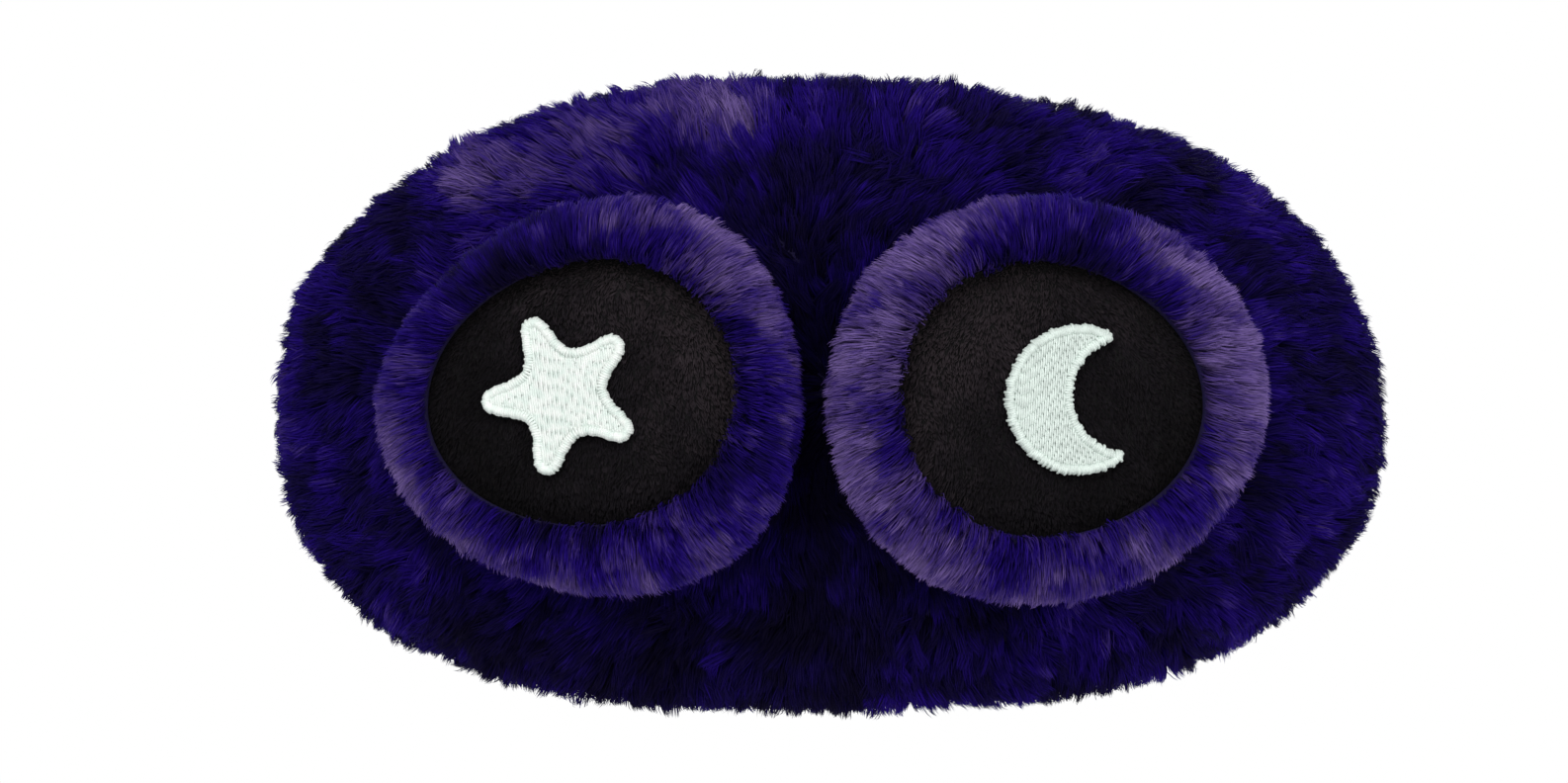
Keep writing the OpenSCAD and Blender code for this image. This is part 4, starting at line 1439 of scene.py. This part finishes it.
class MASK_OT_stage(bpy.types.Operator):
    """Sets the camera, soft studio lamps, a plain pale floor and a white background"""

    bl_idname = "sleep_mask.stage"
    bl_label = "Stage"

    # Place, size and power of each lamp
    LAMPS = {
        "key": ((-0.35, -0.9, 0.75), 0.8, 9.0),
        "fill": ((0.8, -0.8, 0.25), 0.9, 4.5),
        "back": ((0.1, 0.9, 0.7), 0.9, 7.0),
    }
    SOFT_LIGHT = 0.45  # Strength of the light from all round
    WHITE = 1.0  # Strength at which the background shows white
    SEEN_BY = ("Is Camera Ray", "Is Glossy Ray", "Is Transmission Ray")

    def execute(self, context):
        stage = context.scene.mask_stage
        camera = linked("camera", bpy.data.cameras.new("camera"))
        camera.location = (0, -stage.distance, 0)
        camera.rotation_euler = (math.pi / 2, 0, 0)
        camera.data.lens = camera.data.sensor_width * stage.distance / stage.frame_width
        camera.data.shift_x = stage.shift_x
        camera.data.shift_y = stage.shift_y
        camera.data.clip_start = 0.01
        context.scene.camera = camera
        for name, (place, size, power) in self.LAMPS.items():
            lamp = linked(name, bpy.data.lights.new(name, "AREA"))
            lamp.data.shape = "DISK"
            lamp.data.size = size
            lamp.data.energy = power
            lamp.location = place
            lamp.visible_camera = False
            lamp.rotation_euler = (-Vector(place)).to_track_quat("-Z", "Y").to_euler()
        bpy.ops.mesh.primitive_plane_add(size=6.0, location=(0, 0, -stage.floor_drop))
        floor = context.active_object
        floor.name = "floor"
        finish = Finish("floor_paper", Roughness=0.8)
        grain = finish.texture("Noise", Scale=3.0, Detail=2.0)
        finish.colour(finish.ramp(grain, (0.3, stage.floor), (0.7, times(0.98, stage.floor))))
        floor.data.materials.append(finish.material)
        self.background(context)
        context.scene.view_settings.view_transform = "Standard"
        return {"FINISHED"}

    def background(self, context):
        """White where the background is seen, and a softer light on the object."""
        world = bpy.data.worlds.new("studio")
        context.scene.world = world
        world.use_nodes = True
        nodes, links = world.node_tree.nodes, world.node_tree.links
        nodes.clear()
        path = nodes.new("ShaderNodeLightPath")
        seen = path.outputs[self.SEEN_BY[0]]
        for ray in self.SEEN_BY[1:]:
            either = nodes.new("ShaderNodeMath")
            either.operation = "MAXIMUM"
            links.new(seen, either.inputs[0])
            links.new(path.outputs[ray], either.inputs[1])
            seen = either.outputs[0]
        both = nodes.new("ShaderNodeMixShader")
        links.new(seen, both.inputs["Fac"])
        for index, strength in ((1, self.SOFT_LIGHT), (2, self.WHITE)):
            light = nodes.new("ShaderNodeBackground")
            light.inputs["Color"].default_value = (1, 1, 1, 1)
            light.inputs["Strength"].default_value = strength
            links.new(light.outputs[0], both.inputs[index])
        output = nodes.new("ShaderNodeOutputWorld")
        links.new(both.outputs[0], output.inputs["Surface"])


OPERATORS = (
    MASK_OT_stage,
    MASK_OT_body_fur,
    MASK_OT_pad_fur,
    MASK_OT_eye_discs,
    MASK_OT_embroidery,
    MASK_OT_lining,
    MASK_OT_stuffing,
    MASK_OT_straps,
    MASK_OT_hardware,
)
SETTINGS = {
    "mask_fur": FurSettings,
    "mask_disc": DiscSettings,
    "mask_thread": ThreadSettings,
    "mask_cloth": ClothSettings,
    "mask_strap": StrapSettings,
    "mask_stage": StageSettings,
}


class MASK_PT_pieces(bpy.types.Panel):
    """Lists the mask's pieces in the sidebar"""

    bl_label = "Sleep Mask"
    bl_idname = "MASK_PT_pieces"
    bl_space_type = "VIEW_3D"
    bl_region_type = "UI"
    bl_category = "Sleep Mask"

    def draw(self, context):
        for operator in OPERATORS:
            self.layout.operator(operator.bl_idname)
        for name, group in SETTINGS.items():
            box = self.layout.box()
            for prop in group.__annotations__:
                box.prop(getattr(context.scene, name), prop)


def register():
    for group in SETTINGS.values():
        bpy.utils.register_class(group)
    for name, group in SETTINGS.items():
        setattr(bpy.types.Scene, name, PointerProperty(type=group))
    for operator in OPERATORS:
        bpy.utils.register_class(operator)
    bpy.utils.register_class(MASK_PT_pieces)


def unregister():
    bpy.utils.unregister_class(MASK_PT_pieces)
    for operator in reversed(OPERATORS):
        bpy.utils.unregister_class(operator)
    for name, group in SETTINGS.items():
        delattr(bpy.types.Scene, name)
        bpy.utils.unregister_class(group)


def main():
    register()
    bpy.ops.sleep_mask.stage()
    bpy.ops.sleep_mask.body_fur()
    bpy.ops.sleep_mask.pad_fur()
    bpy.ops.sleep_mask.eye_discs()
    bpy.ops.sleep_mask.embroidery()
    bpy.ops.sleep_mask.lining()
    bpy.ops.sleep_mask.stuffing()
    bpy.ops.sleep_mask.straps()
    bpy.ops.sleep_mask.hardware()


if __name__ == "__main__":
    main()
